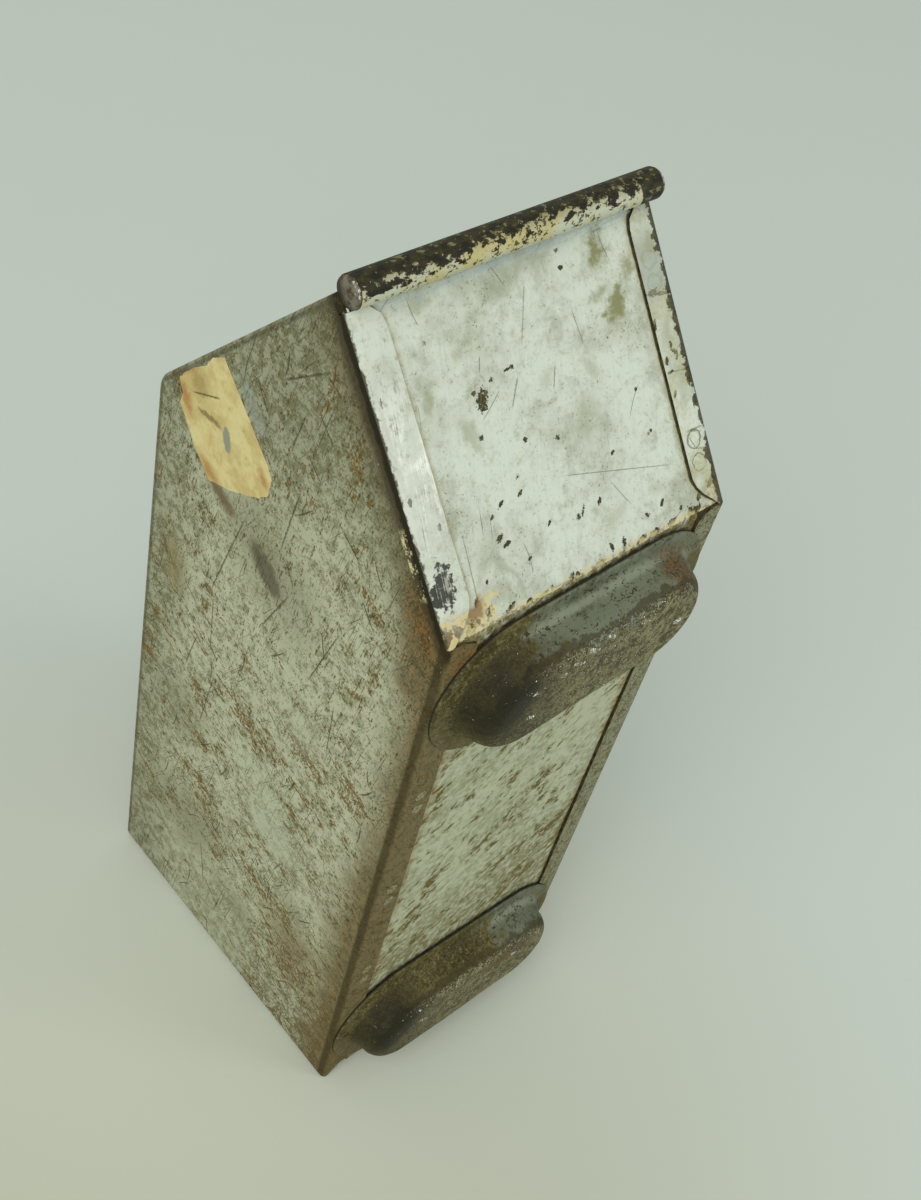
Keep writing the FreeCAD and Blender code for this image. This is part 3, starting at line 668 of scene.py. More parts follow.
def makeCurlPaint():
    coat = Coat("curlPaint")
    place, x, y, z = coat.measure()
    up = coat.along((y, z), wireCentre, alongFront)
    turn = up.maths("ARCTAN2", coat.along((y, z), wireCentre, outFront))
    blobs = coat.grain((x, turn * 5), 0, 4.4, 2.6, 3, 3)
    cloud, fine = coat.noises(place, (16, 2), (0.8, 2, 0.7))
    end = (x + blobs.sway(6)).band(48, 51)
    worn = blobs * 0.8 + fine * 0.2 + cloud.sway(0.14) - (turn - 0.1) * 0.13 - end * 0.3 - x.band(10, -50) * 0.05
    kept = worn.band(0.485, 0.505) * (turn + blobs.sway(2.4)).band(0.95, 0.6)
    pits = coat.noise(place, 1.7, 3, 0.6)
    bare = coat.shift(blobs + fine.sway(0.3), 0.36, 0.6, (22, 22, 5), (52, 47, 19))
    bare = coat.mix((pits + blobs.sway(0.3)).band(0.6, 0.64) * 0.7, bare, (130, 126, 86))
    paint = coat.shift(cloud + fine.sway(0.3), 0.42, 0.6, (194, 198, 174), (196, 184, 128))
    paint = coat.mix((turn + blobs.sway(1.4)).band(-0.5, 0.5) * 0.7, paint, (142, 141, 106))
    rust = worn.band(0.55, 0.49)
    paint = coat.mix(rust * 0.55, paint, (146, 120, 58))
    nicks = (turn.band(-0.8, 0.6) * 0.06 - pits).band(-0.4, -0.38)
    paint = coat.mix(nicks * 0.88, paint, (58, 51, 22))
    coat.colour = coat.mix(kept, bare, paint)
    rough = 0.5 - kept * 0.05 + fine * 0.15
    return coat.finish(rough, 0, kept * 0.6 + fine * 0.3 - nicks * kept * 0.4, 0.0003, 0.3)


def makeInsidePaint():
    coat = Coat("insidePaint")
    place, x, y, z = coat.measure()
    cloud, patch, fine = coat.noises(place, (45, 3), (12, 4, 0.62), (1.2, 3, 0.65))
    coat.colour = coat.shift(cloud, 0.35, 0.7, (164, 168, 144), (140, 140, 112))
    grain = coat.grain((y + x, z), 75, 7, 2.6, 4)
    rusty = (grain * 0.4 + fine * 0.4 + patch * 0.2 + cloud.sway(0.3)).band(0.52, 0.6)
    coat.lay(rusty * 0.55, coat.shift(fine, 0.4, 0.6, tones["rust"], tones["deep"]))
    wear = coat.scratches((y + x, z), 18, 70, 60, 0.25, 0.5, 3)
    wear = wear.most(coat.grain((y + x, z), 80, 20, 0.5, 8, 1).band(0.67, 0.75))
    coat.lay(wear * 0.6, tones["deep"])
    floor = (y + patch.sway(30)).band(18, 3).most((z + patch.sway(30)).band(18, 3))
    coat.lay(floor * 0.75, coat.shift(fine, 0.4, 0.6, tones["rust"], tones["deep"]))
    corner = (abs(x) + patch.sway(16)).band(46, 58) * abs(x).band(59.2, 58.6)
    coat.lay(corner * 0.5, tones["rust"])
    rough = 0.62 + rusty * 0.2
    return coat.finish(rough, 0, fine * 0.5 - rusty * 0.3 - wear * 0.5, 0.0002)


def makeEdgeGrime():
    coat = Coat("edgeGrime")
    place, *_ = coat.measure()
    blur, fine = coat.noises(place, (2.6, 3), (0.9, 2))
    coat.colour = coat.shift(blur * 0.6 + fine * 0.4, 0.4, 0.64, (44, 40, 22), (86, 78, 44))
    return coat.finish(0.8, 0, fine, 0.0001)


def makeFootPaint(name, middle, skew, paintedFrom, scab, glints, seed):
    coat = Coat(name)
    _, x, y, z = coat.measure()
    a, b = coat.local((x, z), middle, -skew, (1, 1))
    h = y * -1
    seeded = coat.join(x, y, z + seed)
    cloud, patch, blur, fine = coat.noises(seeded, (20, 3), (6, 4, 0.64), (1.9, 3, 0.6), (0.75, 2, 0.7))
    speck = blur * 0.5 + fine * 0.5
    coat.colour = coat.shift(cloud * 0.5 + patch * 0.5, 0.38, 0.62, (98, 90, 50), (66, 59, 28))
    coat.lay(speck.band(0.51, 0.58) * 0.75, (45, 40, 16))
    coat.lay(speck.band(0.46, 0.39) * 0.5, (140, 132, 94))
    crest = (h + patch.sway(3)).band(12, 13.6)
    worn = coat.shift(speck + patch.sway(0.2), 0.42, 0.56, (150, 144, 106), (66, 58, 30))
    coat.lay(crest * 0.7, worn)
    front = (b + patch.sway(10)).band(8, 13) * (h + patch.sway(14) + cloud.sway(12) + blur.sway(5)).band(12.6, 11.4)
    painted = front * (a + patch.sway(40) + cloud.sway(40)).band(paintedFrom - 6, paintedFrom + 6)
    painted = painted * (speck + patch.sway(0.4)).band(0.63, 0.59)
    paint = coat.shift(cloud + blur.sway(0.5), 0.4, 0.62, (104, 110, 90), (84, 88, 68))
    paint = coat.mix(speck.band(0.52, 0.6) * 0.4, paint, (62, 58, 36))
    # Painted highlight: a lighter band along the fillet at the root of the ridge
    paint = coat.mix((abs(h - 2.8) + blur.sway(1.5)).band(2, 0.2) * 0.6, paint, (140, 146, 124))
    coat.lay(painted, paint)
    rusted = coat.blot((a, b), scab[0], scab[1], scab[2], patch.sway(2) + blur.sway(1.6), 0.4)
    coat.lay(rusted * 0.8, coat.shift(fine, 0.4, 0.6, (112, 84, 40), (60, 46, 24)))
    ridge = (abs(h - 11.6 + cloud.sway(6)) + patch.sway(8) + blur.sway(4)).band(1.6, 0.6) * b.band(2, 10)
    coat.lay(ridge * 0.75, (58, 49, 22))
    lit = (abs(h - 13.2) + patch.sway(4)).band(0.9, 0.3) * b.band(4, 10) * speck.band(0.5, 0.42)
    coat.lay(lit * 0.6, (150, 156, 138))
    shade = (a + patch.sway(18) + blur.sway(10)).band(-4, -38) * crest
    coat.lay(shade * 0.75, coat.shift(speck, 0.42, 0.56, (78, 71, 40), (44, 39, 15)))
    # Dirt and painted shade blacken the hollow at the left end of the ridge
    endDirtAndShade = coat.blot((a, b), (-40, 8), 50, (22, 13), patch.sway(0.9) + blur.sway(0.9), 0.3) * h.band(1.2, 3)
    coat.lay(endDirtAndShade * 0.93, (28, 26, 9))
    # Painted glints: bright specks along the crest and round the listed spots
    bright = (abs(h - 13.6) + patch.sway(3)).band(1.6, 0.5) * abs(a + 4).band(44, 24) * 0.06
    for middle in glints:
        bright = bright.most(coat.blot((a, b), middle, -25, (5, 2), patch.sway(1.5), 0.3) * 0.16)
    glint = (blur * 0.4 + fine * 0.6 + bright).band(0.67, 0.7)
    coat.lay(glint, (232, 234, 226))
    brim = h.band(1.9, 1.25) * (b + patch.sway(16) - a * 0.25).band(16, 6)
    coat.lay(brim * 0.4, (112, 103, 62))
    # Painted shade: the plate's low edge is black where it meets the floor sheet
    skirtShade = (h + fine.sway(0.5)).band(0.95, 0.35)
    coat.lay(skirtShade, tones["black"])
    rough = 0.62 - painted * 0.12 - crest * 0.08 - glint * 0.3 + fine * 0.1
    return coat.finish(rough, 0, speck * 1 + patch * 0.3 - painted * 0.2, 0.0004, 0.22)


def makeTapePaper():
    coat = Coat("tapePaper")
    place, _, y, z = coat.measure()
    spot = (y, z)
    cloud, blur, fine = coat.noises(place, (12, 3), (3, 4, 0.62), (0.9, 2, 0.7))
    coat.colour = coat.shift(cloud + blur.sway(0.4), 0.35, 0.65, (216, 202, 145), (198, 178, 118))
    olive = coat.blot(spot, (121, 279), 60, (9, 7), blur.sway(1.8), 0.2)
    coat.lay(olive * 0.8, (162, 142, 88))
    corner = coat.blot(spot, (127.5, 269.5), 55, (10, 4.6), blur.sway(2.2), 0.1)
    corner = corner.most(coat.blot(spot, (129, 279.5), 130, (9, 3), blur.sway(2.2), 0.1))
    coat.lay(corner * 0.8, (172, 116, 62))
    foot = coat.blot(spot, (112, 249.5), 20, (9, 4), blur.sway(1.8), 0.1)
    foot = foot.most(coat.blot(spot, (86, 268), 50, (6, 3), blur.sway(1.8), 0.1))
    coat.lay(foot * 0.7, (170, 118, 66))
    hole = coat.blot(spot, (105, 268.2), 76, (5.2, 2.2), fine.sway(0.7), 0.8)
    coat.lay(hole, (146, 148, 128))
    smear = coat.stroke(spot, (124.7, 272.9), (109.5, 281.5), 0.55, fine.sway(1.6))
    smear = smear.most(coat.stroke(spot, (121.5, 269.2), (107, 270.8), 1.5, blur.sway(3)) * 0.8)
    coat.lay(smear * 0.8, (92, 76, 46))
    specks = (fine * 0.6 + blur * 0.4).band(0.6, 0.66)
    coat.lay(specks * 0.5, (150, 122, 74))
    return coat.finish(0.85, 0, fine * 0.4 + blur, 0.0002)


def makeBareSteel():
    coat = Coat("bareSteel")
    place, _, y, z = coat.measure()
    out = coat.along((y, z), wireCentre, outFront)
    patch, fine = coat.noises(place, (2.4, 4, 0.6), (0.8, 2, 0.7))
    coat.colour = coat.shift(patch + fine.sway(0.3), 0.38, 0.62, (124, 118, 102), (74, 66, 50))
    # Dirt and painted shade darken the wire on its inner side
    dirtAndShade = (out + patch.sway(5)).band(0.6, -2.4)
    coat.lay(dirtAndShade * 0.85, (52, 42, 26))
    # Painted highlight: a light fleck on the wire's outer side
    outerHighlight = (out + patch.sway(3)).band(3.4, 4.4) * fine.band(0.5, 0.6)
    coat.lay(outerHighlight, (200, 200, 190))
    rough = 0.42 + patch * 0.25
    return coat.finish(rough, 0.25, fine * 0.5 + patch, 0.0004)


sidePaint = makeSidePaint()
frontPaint = makeFrontPaint()
flangePaint = makeFlangePaint()
floorPaint = makeFloorPaint()
curlPaint = makeCurlPaint()
insidePaint = makeInsidePaint()
edgeGrime = makeEdgeGrime()
tapePaper = makeTapePaper()
bareSteel = makeBareSteel()
print("finishes made")


# Side sheets: a plate with three folded flanges and a rolled rim
side = {
    "ear": 1.2, "earRise": 0.6, "cornerRound": 9.0, "rimGap": 1.5, "hem": 8.0, "roll": 1.0, "leaf": 0.98,
    "step": 3.0, "wave": 0.3, "waveSize": 45.0, "waveFrom": 4.0, "waveTo": 16.0, "seed": 4.0,
    "foldTurns": (0, 18, 36, 54, 72, 90), "leafShares": (0.34, 0.67, 1.0),
    "topPoints": 88, "nosePoints": 38, "arcSteps": 8,
}
bend = shell["bend"]
frontFold = frontBend - outFront * bend
earLine = frontBend - outFront * side["ear"]
rearInner, frontInner = Vector((bend, bend)), crossing(Vector((bend, 0)), Vector((0, 1)), frontFold, alongFront)
backTop = shell["depth"] - side["rimGap"]
foldEdges = {
    "front": (frontInner, frontFold + alongFront * frontTop, frontBend, frontBend + alongFront * frontTop),
    "floor": (rearInner, frontInner, Vector((0, 0)), frontBend),
    "back": (rearInner, Vector((backTop, bend)), Vector((0, 0)), Vector((backTop, 0))),
}


def rimPath(depth):
    # The rim at a depth below its edge: along the top, round the corner and down the nose
    top = Vector((shell["depth"] - depth, bend))
    nosePoint = rimCorner + intoNose * depth
    noseEnd = crossing(nosePoint, alongNose, earLine, alongFront)
    radius, steps = shell["rimRound"], side["arcSteps"]
    below = Vector((shell["depth"] - radius, 0))
    centre = crossing(below, Vector((0, 1)), rimCorner + intoNose * radius, alongNose)
    if depth < radius:
        first, last = centre + Vector((radius - depth, 0)), centre - intoNose * (radius - depth)
        turn = math.atan2(-intoNose.y, -intoNose.x)
        turns = [turn * step / steps for step in range(1, steps)]
        arc = [centre + Vector((math.cos(angle), math.sin(angle))) * (radius - depth) for angle in turns]
    else:
        first = last = crossing(top, Vector((0, 1)), nosePoint, alongNose)
        arc = [first.copy() for _ in range(steps - 1)]
    return lerpRow(top, first, side["topPoints"]) + arc + lerpRow(last, noseEnd, side["nosePoints"])


def flangeGrid(name):
    innerFirst, innerLast, outerFirst, outerLast = foldEdges[name]
    columns = int((innerLast - innerFirst).length / side["step"]) + 2
    length = (outerLast - outerFirst).length
    rows = []
    for turn in map(math.radians, side["foldTurns"]):
        rows.append((math.sin(turn), lambda width, turn=turn: bend * (1 - math.cos(turn))))
    for share in side["leafShares"]:
        rows.append((1.0, lambda width, share=share: bend + (width - bend) * share))
    points = []
    for lean, reach in rows:
        for column in range(columns):
            u = column / (columns - 1)
            place = innerFirst.lerp(innerLast, u).lerp(outerFirst.lerp(outerLast, u), lean)
            place = roundCorner(place)
            width = endWidth(name, u * length, length)
            points.append((-shell["halfWidth"] + reach(width), place.x, place.y))
    return points, len(rows), columns


def roundCorner(place):
    # Draws the corner between floor and front in to an arc
    radius = side["cornerRound"]
    half = (math.pi / 2 - slope) / 2
    centre = crossing(Vector((radius, 0)), Vector((0, 1)), frontBend - outFront * radius, alongFront)
    away = place - centre
    inWedge = away.angle(frontBend - centre) < half if away.length > radius else False
    return centre + away.normalized() * radius if inWedge else place


def endWidth(name, run, length):
    # Full width, drawn in round the corners of the panel and below the nose
    share = roundIn((run - flange["start"]) / flange["lead"])
    if name == "front":
        arc = math.sqrt(roundIn((length - run) / flange["topRound"]))
        share = min(share, flange["topShare"] + (1 - flange["topShare"]) * arc)
    elif name == "floor":
        share = min(share, roundIn((length - run + 1) / 5))
    else:
        share = min(share, smooth(-2.0, 6.5, length - run))
    return flange["tip"] + (flange["width"] - flange["tip"]) * share


def roundIn(share):
    kept = min(max(share, 0.0), 1.0)
    return kept * (2 - kept)


def insideOutline(point, outline):
    hit = False
    for index, first in enumerate(outline):
        second = outline[index - 1]
        if (first.y > point.y) != (second.y > point.y):
            if point.x < (second.x - first.x) * (point.y - first.y) / (second.y - first.y) + first.x:
                hit = not hit
    return hit


def filledOutline(outline, step, clear):
    # Triangles over a closed outline, with an even net of points inside it
    low = Vector((min(p.x for p in outline), min(p.y for p in outline)))
    high = Vector((max(p.x for p in outline), max(p.y for p in outline)))
    net = []
    row = 0
    while low.y + row * step < high.y:
        column = 0
        while low.x + column * step < high.x:
            point = low + Vector(((column + 0.5 * (row % 2)) * step, row * step))
            column += 1
            if insideOutline(point, outline) and min((point - p).length for p in outline) > clear:
                net.append(point)
        row += 1
    found = delaunay_2d_cdt(outline + net, [], [list(range(len(outline)))], 1, 1e-5)
    return found[0], found[2]


def buildSide(name, mirror, slots):
    rim = rimPath(side["roll"])
    grids = {edge: flangeGrid(edge) for edge in foldEdges}
    firstRows = {edge: [Vector(p[1:]) for p in grid[0][:grid[2]]] for edge, grid in grids.items()}
    ear = earLine + alongFront * (frontTop + side["earRise"])
    outline = rim + lerpRow(rim[-1], ear, 4)[1:] + firstRows["front"][::-1]
    outline += firstRows["floor"][-2::-1] + firstRows["back"][1:]
    flatPoints, flatFaces = filledOutline(outline, side["step"], side["step"] * 0.55)
    points = []
    for spot in flatPoints:
        fromNose, fromFront = (spot - rimCorner).dot(intoNose), (frontBend - spot).dot(outFront)
        edgeDistance = min(spot.x, spot.y, shell["depth"] - spot.x, fromNose, fromFront)
        swell = noise.noise(Vector((spot.x, spot.y, side["seed"] * (2 if mirror else 1))) / side["waveSize"])
        swell *= side["wave"] * smooth(side["waveFrom"], side["waveTo"], edgeDistance)
        points.append((-shell["halfWidth"] + swell, spot.x, spot.y))
    faces = [tuple(face) for face in flatFaces]
    faceSlots = [0] * len(faces)
    for edge, (gridPoints, rows, columns) in grids.items():
        added = gridFaces(rows, columns, len(points))
        faceSlots += [1 if edge == "front" and index >= 2 * (columns - 1) else 0 for index in range(len(added))]
        faces += added
        points += gridPoints
    made = makePiece(name, points, faces, slots, faceSlots)
    closeSeams(made)
    skin = addSkin(made, shell["sheet"], -1)
    skin.use_even_offset = True
    skin.material_offset, skin.material_offset_rim = 4, 2
    applyModifiers(made)
    addRoll(made)
    if mirror:
        made.data.transform(Matrix.Scale(-1, 4, Vector((1, 0, 0))))
        made.data.flip_normals()
    shadeByAngle(made, shell["sharp"])
    return made


def addRoll(made):
    # The rolled rim and its inner leaf, one closed section carried along the rim
    roll, hem, steps = side["roll"], side["hem"], side["arcSteps"]
    turns = [math.pi * step / steps for step in range(steps + 1)]
    section = [(roll * (1 - math.cos(turn)), roll * (1 - math.sin(turn))) for turn in turns]
    inner, leaf = 2 * roll, side["leaf"]
    section += [(inner, 3.0), (inner, 5.5), (inner - 0.1, hem), (inner - leaf + 0.03, hem), (inner - leaf, roll)]
    rows = []
    for across, depth in section:
        rows.append([(across - shell["halfWidth"], spot.x, spot.y) for spot in rimPath(depth)])
    count, length = len(section), len(rows[0])
    work = bmesh.new()
    work.from_mesh(made.data)
    verts = [[work.verts.new(toFrame(point)) for point in row] for row in rows]
    for row in range(count):
        following = verts[(row + 1) % count]
        for column in range(length - 1):
            corners = (*verts[row][column:column + 2], following[column + 1], following[column])
            work.faces.new(corners).material_index = 0 if row < steps else 4
    work.faces.new([row[0] for row in verts]).material_index = 2
    work.faces.new([row[-1] for row in reversed(verts)]).material_index = 2
    bmesh.ops.remove_doubles(work, verts=[v for row in verts for v in row], dist=2e-6)
    work.to_mesh(made.data)
    work.free()


sideSlots = [sidePaint, flangePaint, edgeGrime, edgeGrime, insidePaint, insidePaint]
for name, mirror in (("left_side_panel", False), ("right_side_panel", True)):
    sheet = buildSide(name.replace("panel", "sheet"), mirror, sideSlots)
    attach(sheet, "root")
    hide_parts(name)
    print(sheet.name, len(sheet.data.polygons), "faces")


# Floor and front: one strip with a curled nose
strip = {
    "halfWidth": 56.8, "rearEdge": 4.2, "wave": 0.22, "waveSize": 34.0, "seed": 11.0,
    "floorRows": 78, "bendRows": 6, "frontRows": 32, "curlRows": 36, "columns": 46,
}


def stripPath(inset, radius, curlRadius):
    floorStart = Vector((inset, strip["rearEdge"]))
    frontLine = frontBend - outFront * inset
    corner = crossing(Vector((inset, 0)), Vector((0, 1)), frontLine, alongFront)
    half = (math.pi / 2 - slope) / 2
    reach = radius * math.tan(half)
    bendStart, bendEnd = corner - Vector((0, reach)), corner + alongFront * reach
    centre = bendStart + Vector((radius, 0))
    floorCount, bendCount = strip["floorRows"], strip["bendRows"]
    frontCount, curlCount = strip["frontRows"], strip["curlRows"]
    path = lerpRow(floorStart, bendStart, floorCount)
    for step in range(1, bendCount + 1):
        turn = 2 * half * step / (bendCount + 1)
        path.append(centre + Vector((-math.cos(turn), math.sin(turn))) * radius)
    path += lerpRow(bendEnd, frontLine + alongFront * shell["frontRun"], frontCount)
    for step in range(1, curlCount + 1):
        turn = math.radians(nose["turn"]) * step / curlCount
        path.append(wireCentre + (alongFront * math.sin(turn) - outFront * math.cos(turn)) * curlRadius)
    return path, floorCount + bendCount // 2, floorCount + bendCount + frontCount - 1


def buildStrip():
    outside, bendAt, curlAt = stripPath(shell["sheet"], bend, nose["curlInside"])
    inside, _, _ = stripPath(2 * shell["sheet"], bend - shell["sheet"], nose["curlOutside"])
    count = len(outside)
    ring = outside + list(reversed(inside))
    points, faces, slots = [], [], []
    columns = strip["columns"]
    for column in range(columns):
        share = 2 * column / (columns - 1) - 1
        for index, spot in enumerate(ring):
            along = index if index < count else 2 * count - 1 - index
            widening = nose["halfCurl"] - strip["halfWidth"]
            half = strip["halfWidth"] + widening * smooth(curlAt - 1, curlAt + 2, along)
            out = outFront if along > bendAt else Vector((-1, 0))
            swell = noise.noise(Vector((share * half, spot.x, spot.y + strip["seed"] * 10)) / strip["waveSize"])
            swell *= strip["wave"] * smooth(1.0, 0.8, abs(share)) * smooth(curlAt - 1, curlAt - 6, along)
            shifted = spot + out * swell
            points.append((share * half, shifted.x, shifted.y))
    size = len(ring)
    for column in range(columns - 1):
        for index in range(size):
            following = (index + 1) % size
            first, second = column * size, (column + 1) * size
            faces.append((first + index, first + following, second + following, second + index))
            along = index if index < count else 2 * count - 1 - index
            if along >= curlAt:
                slots.append(2)
            elif index >= count - 1:
                slots.append(3)
            else:
                slots.append(1 if along > bendAt else 0)
    for column in (0, columns - 1):
        base = column * size
        for index in range(count - 1):
            faces.append((base + index, base + index + 1, base + size - 2 - index, base + size - 1 - index))
            slots.append(4)
    paints = [floorPaint, frontPaint, curlPaint, insidePaint, edgeGrime]
    return makeSolid("floor_front_strip", points, faces, paints, shell["sharp"], slots)


strip["piece"] = buildStrip()
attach(strip["piece"], "root")
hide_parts("floor_front_sheet")
print("floor and front:", len(strip["piece"].data.polygons), "faces")


# Nose wire with peened ends
wire = {
    "half": 58.0, "headRadius": 4.75, "headEdge": 0.6, "crown": 59.8, "crownSteps": 6, "segments": 48,
    "dent": 0.18, "dentSize": 3.0, "sharp": 40,
}


def buildWire():
    half, head, steps = wire["half"], wire["headRadius"], wire["crownSteps"]
    edge = half + wire["headEdge"]
    profile = [(half, nose["wire"]), (half + 0.05, head), (edge, head)]
    for step in range(1, steps + 1):
        turn = math.pi / 2 * step / steps
        profile.append((edge + (wire["crown"] - edge) * math.sin(turn), max(head * math.cos(turn), 0.02)))
    profile = [(-x, r) for x, r in reversed(profile)] + profile
    points = []
    for x, radius in profile:
        for step in range(wire["segments"]):
            turn = 2 * math.pi * step / wire["segments"]
            spot = wireCentre + Vector((math.cos(turn), math.sin(turn))) * radius
            dent = wire["dent"] * noise.noise(Vector((x, spot.x, spot.y)) / wire["dentSize"])
            dent *= radius < head * 0.98
            points.append((x + math.copysign(dent, x), spot.x, spot.y))
    faces = gridFaces(len(profile), wire["segments"], 0, True)
    return makeSolid("nose_wire_rod", points, faces, [bareSteel], wire["sharp"])


wire["piece"] = buildWire()
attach(wire["piece"], "root")
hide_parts("nose_wire")


# Pressed feet: rings from the brim's edge to the crest
foot = {
    "halfLength": 58.0, "halfWidth": 29.0, "height": 14.3, "plate": 1.2, "fillet": 4.0, "crest": 8.0,
    "sideBrim": 8.0, "brimEdge": ((0.0, 0.0), (0.0, 0.8), (0.15, 1.08)), "draft": 0.9, "shift": -1.5,
    "dent": 0.35, "dentSize": 24.0, "straight": 26, "ends": 24, "filletSteps": 6, "crestSteps": 9, "sharp": 50,
}


def footProfile():
    plate, fillet, crest, height = foot["plate"], foot["fillet"], foot["crest"], foot["height"]
    root, filletSteps, crestSteps = foot["sideBrim"] - fillet, foot["filletSteps"], foot["crestSteps"]
    profile = [*foot["brimEdge"], (0.45, plate), (2.0, plate), (root, plate)]
    for step in range(1, filletSteps + 1):
        turn = math.radians(86) * step / filletSteps
        profile.append((root + fillet * math.sin(turn), plate + fillet * (1 - math.cos(turn))))
    centre = foot["sideBrim"] + foot["draft"] + crest
    for step in range(crestSteps + 1):
        turn = math.pi / 2 * step / crestSteps
        profile.append((centre - crest * math.cos(turn), height - crest + crest * math.sin(turn)))
    return profile + [(centre + 4.0, height), (centre + 8.0, height)]


def footPlace(a, b, place, skew):
    # From along and across a foot to the part's x and z
    turn = math.radians(skew)
    x = a * math.cos(turn) + b * math.sin(turn) + foot["shift"]
    return x, b * math.cos(turn) - a * math.sin(turn) + place


def buildFoot(name, place, skew, mats, seed):
    straight, ends = foot["straight"], foot["ends"]
    points = []
    profile = footProfile()
    bows = [(math.sin(math.pi * k / ends), math.cos(math.pi * k / ends)) for k in range(ends)]
    for inset, height in profile:
        radius = foot["halfWidth"] - inset
        run = foot["halfLength"] - foot["halfWidth"] - 0.5 * smooth(2.0, 8.0, inset)
        ring = [(-run + 2 * run * k / straight, radius) for k in range(straight)]
        ring += [(run + radius * sine, radius * cosine) for sine, cosine in bows]
        ring += [(-a, -b) for a, b in ring]
        for a, b in ring:
            level = smooth(2.0, 7.0, height)
            dent = foot["dent"] * level * noise.noise(Vector((a, b, height + seed)) / foot["dentSize"])
            lift = min(height + dent * 0.7, foot["height"])
            x, z = footPlace(a, b, place, skew)
            points.append((x, -lift, z))
    size = 2 * (straight + ends)
    faces = gridFaces(len(profile), size, 0, True)
    faces.append(tuple(range((len(profile) - 1) * size, len(profile) * size)))
    faces.append(tuple(reversed(range(size))))
    return makeSolid(name, points, faces, mats, foot["sharp"])


frontGlints = [
    (0.8, 14.6), (-13.0, 11.0), (-18.5, 9.2), (-28.8, 7.8), (-29.0, -4.0), (35.0, 0.0), (-7.0, 13.2), (16.0, 12.0),
]
rearGlints = [(-24.0, 3.0), (24.0, 8.0)]
# Name, place from the back, skew, where its paint starts, rust scab, painted glints and seed
feet = (
    ("front_foot", 243.8, -1.6, -24.0, ((36.0, 17.5), -35.0, (11.0, 6.0)), frontGlints, 3.0),
    ("rear_foot", 32.3, 2.3, 14.0, ((20.0, 12.0), 10.0, (16.0, 5.0)), rearGlints, 40.0),
)
for name, place, skew, paintedFrom, scab, glints, seed in feet:
    paint = makeFootPaint(name + "Paint", (foot["shift"], place), skew, paintedFrom, scab, glints, seed)
    piece = buildFoot(name + "_pressing", place, skew, [paint], seed)
    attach(piece, "root")
    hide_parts(name)
print("feet made")


# Weld buttons: one tree sets a dished button on every seat
def makeWeldTree():
    tree = bpy.data.node_groups.new("weldButtons", "GeometryNodeTree")
    tree.interface.new_socket("Seats", in_out="INPUT", socket_type="NodeSocketGeometry")
    kinds = dict.fromkeys(("Radius", "Height", "Dish"), "Float")
    kinds.update({"Facing": "Vector", "Seed": "Int", "Finish": "Material"})
    for name, kind in kinds.items():
        tree.interface.new_socket(name, in_out="INPUT", socket_type="NodeSocket" + kind)
    tree.interface.new_socket("Welds", in_out="OUTPUT", socket_type="NodeSocketGeometry")
    given = tree.nodes.new("NodeGroupInput").outputs

    def add(kind, settings=None, sockets=(), out=0):
        return addNode(tree, kind, settings, dict(sockets)).outputs[out]

    def maths(operation, first, second):
        return add("ShaderNodeMath", {"operation": operation}, {0: first, 1: second})

    sizes = {
        "Vertices": weld["sides"], "Side Segments": 3, "Fill Segments": 6, "Radius Bottom": given["Radius"],
        "Radius Top": maths("MULTIPLY", given["Radius"], weld["topShare"]), "Depth": given["Height"],
    }
    button = add("GeometryNodeMeshCone", {"fill_type": "TRIANGLE_FAN"}, sizes)
    position = add("GeometryNodeInputPosition")
    flat = add("ShaderNodeVectorMath", {"operation": "MULTIPLY"}, {0: position, 1: (1, 1, 0)})
    reach = add("ShaderNodeVectorMath", {"operation": "LENGTH"}, {0: flat}, "Value")
    share = maths("DIVIDE", reach, given["Radius"])
    dished = {"Value": share, "From Min": weld["bowlRim"], "From Max": weld["bowlFloor"], "To Max": given["Dish"]}
    bowl = add("ShaderNodeMapRange", {"interpolation_type": "SMOOTHSTEP"}, dished)
    rise = add("ShaderNodeSeparateXYZ", None, {0: position}, "Z")
    sunk = maths("MULTIPLY", maths("MULTIPLY", bowl, -1.0), maths("DIVIDE", rise, given["Height"]))
    offset = add("ShaderNodeCombineXYZ", None, {"Z": sunk})
    button = add("GeometryNodeSetPosition", None, {"Geometry": button, "Offset": offset})
    turn = add("FunctionNodeAlignRotationToVector", {"axis": "Z"}, {"Vector": given["Facing"]})
    sizes = {"Min": weld["smallest"], "Max": weld["largest"], "Seed": given["Seed"]}
    size = add("FunctionNodeRandomValue", {"data_type": "FLOAT"}, sizes, 1)
    spread = {"Points": given["Seats"], "Instance": button, "Rotation": turn, "Scale": size}
    placed = add("GeometryNodeInstanceOnPoints", None, spread)
    solid = add("GeometryNodeRealizeInstances", None, {"Geometry": placed})
    painted = add("GeometryNodeSetMaterial", None, {"Geometry": solid, "Material": given["Finish"]})
    end = tree.nodes.new("NodeGroupOutput")
    tree.links.new(painted, end.inputs["Welds"])
    return tree


def makeWeldPaint(name, below, base, worn):
    coat = Coat(name)
    place, _, y, z = coat.measure()
    fine = coat.noise(place, 1.1, 3.0, 0.6)
    coat.colour = coat.shift(fine, 0.42, 0.58, base, worn)
    grime = (below(y, z) + fine.sway(0.06)).band(-0.06, -0.01)
    coat.lay(grime * 0.7, (60, 52, 28))
    return coat.finish(0.55 + grime * 0.2, 0.0, fine, 0.00015)


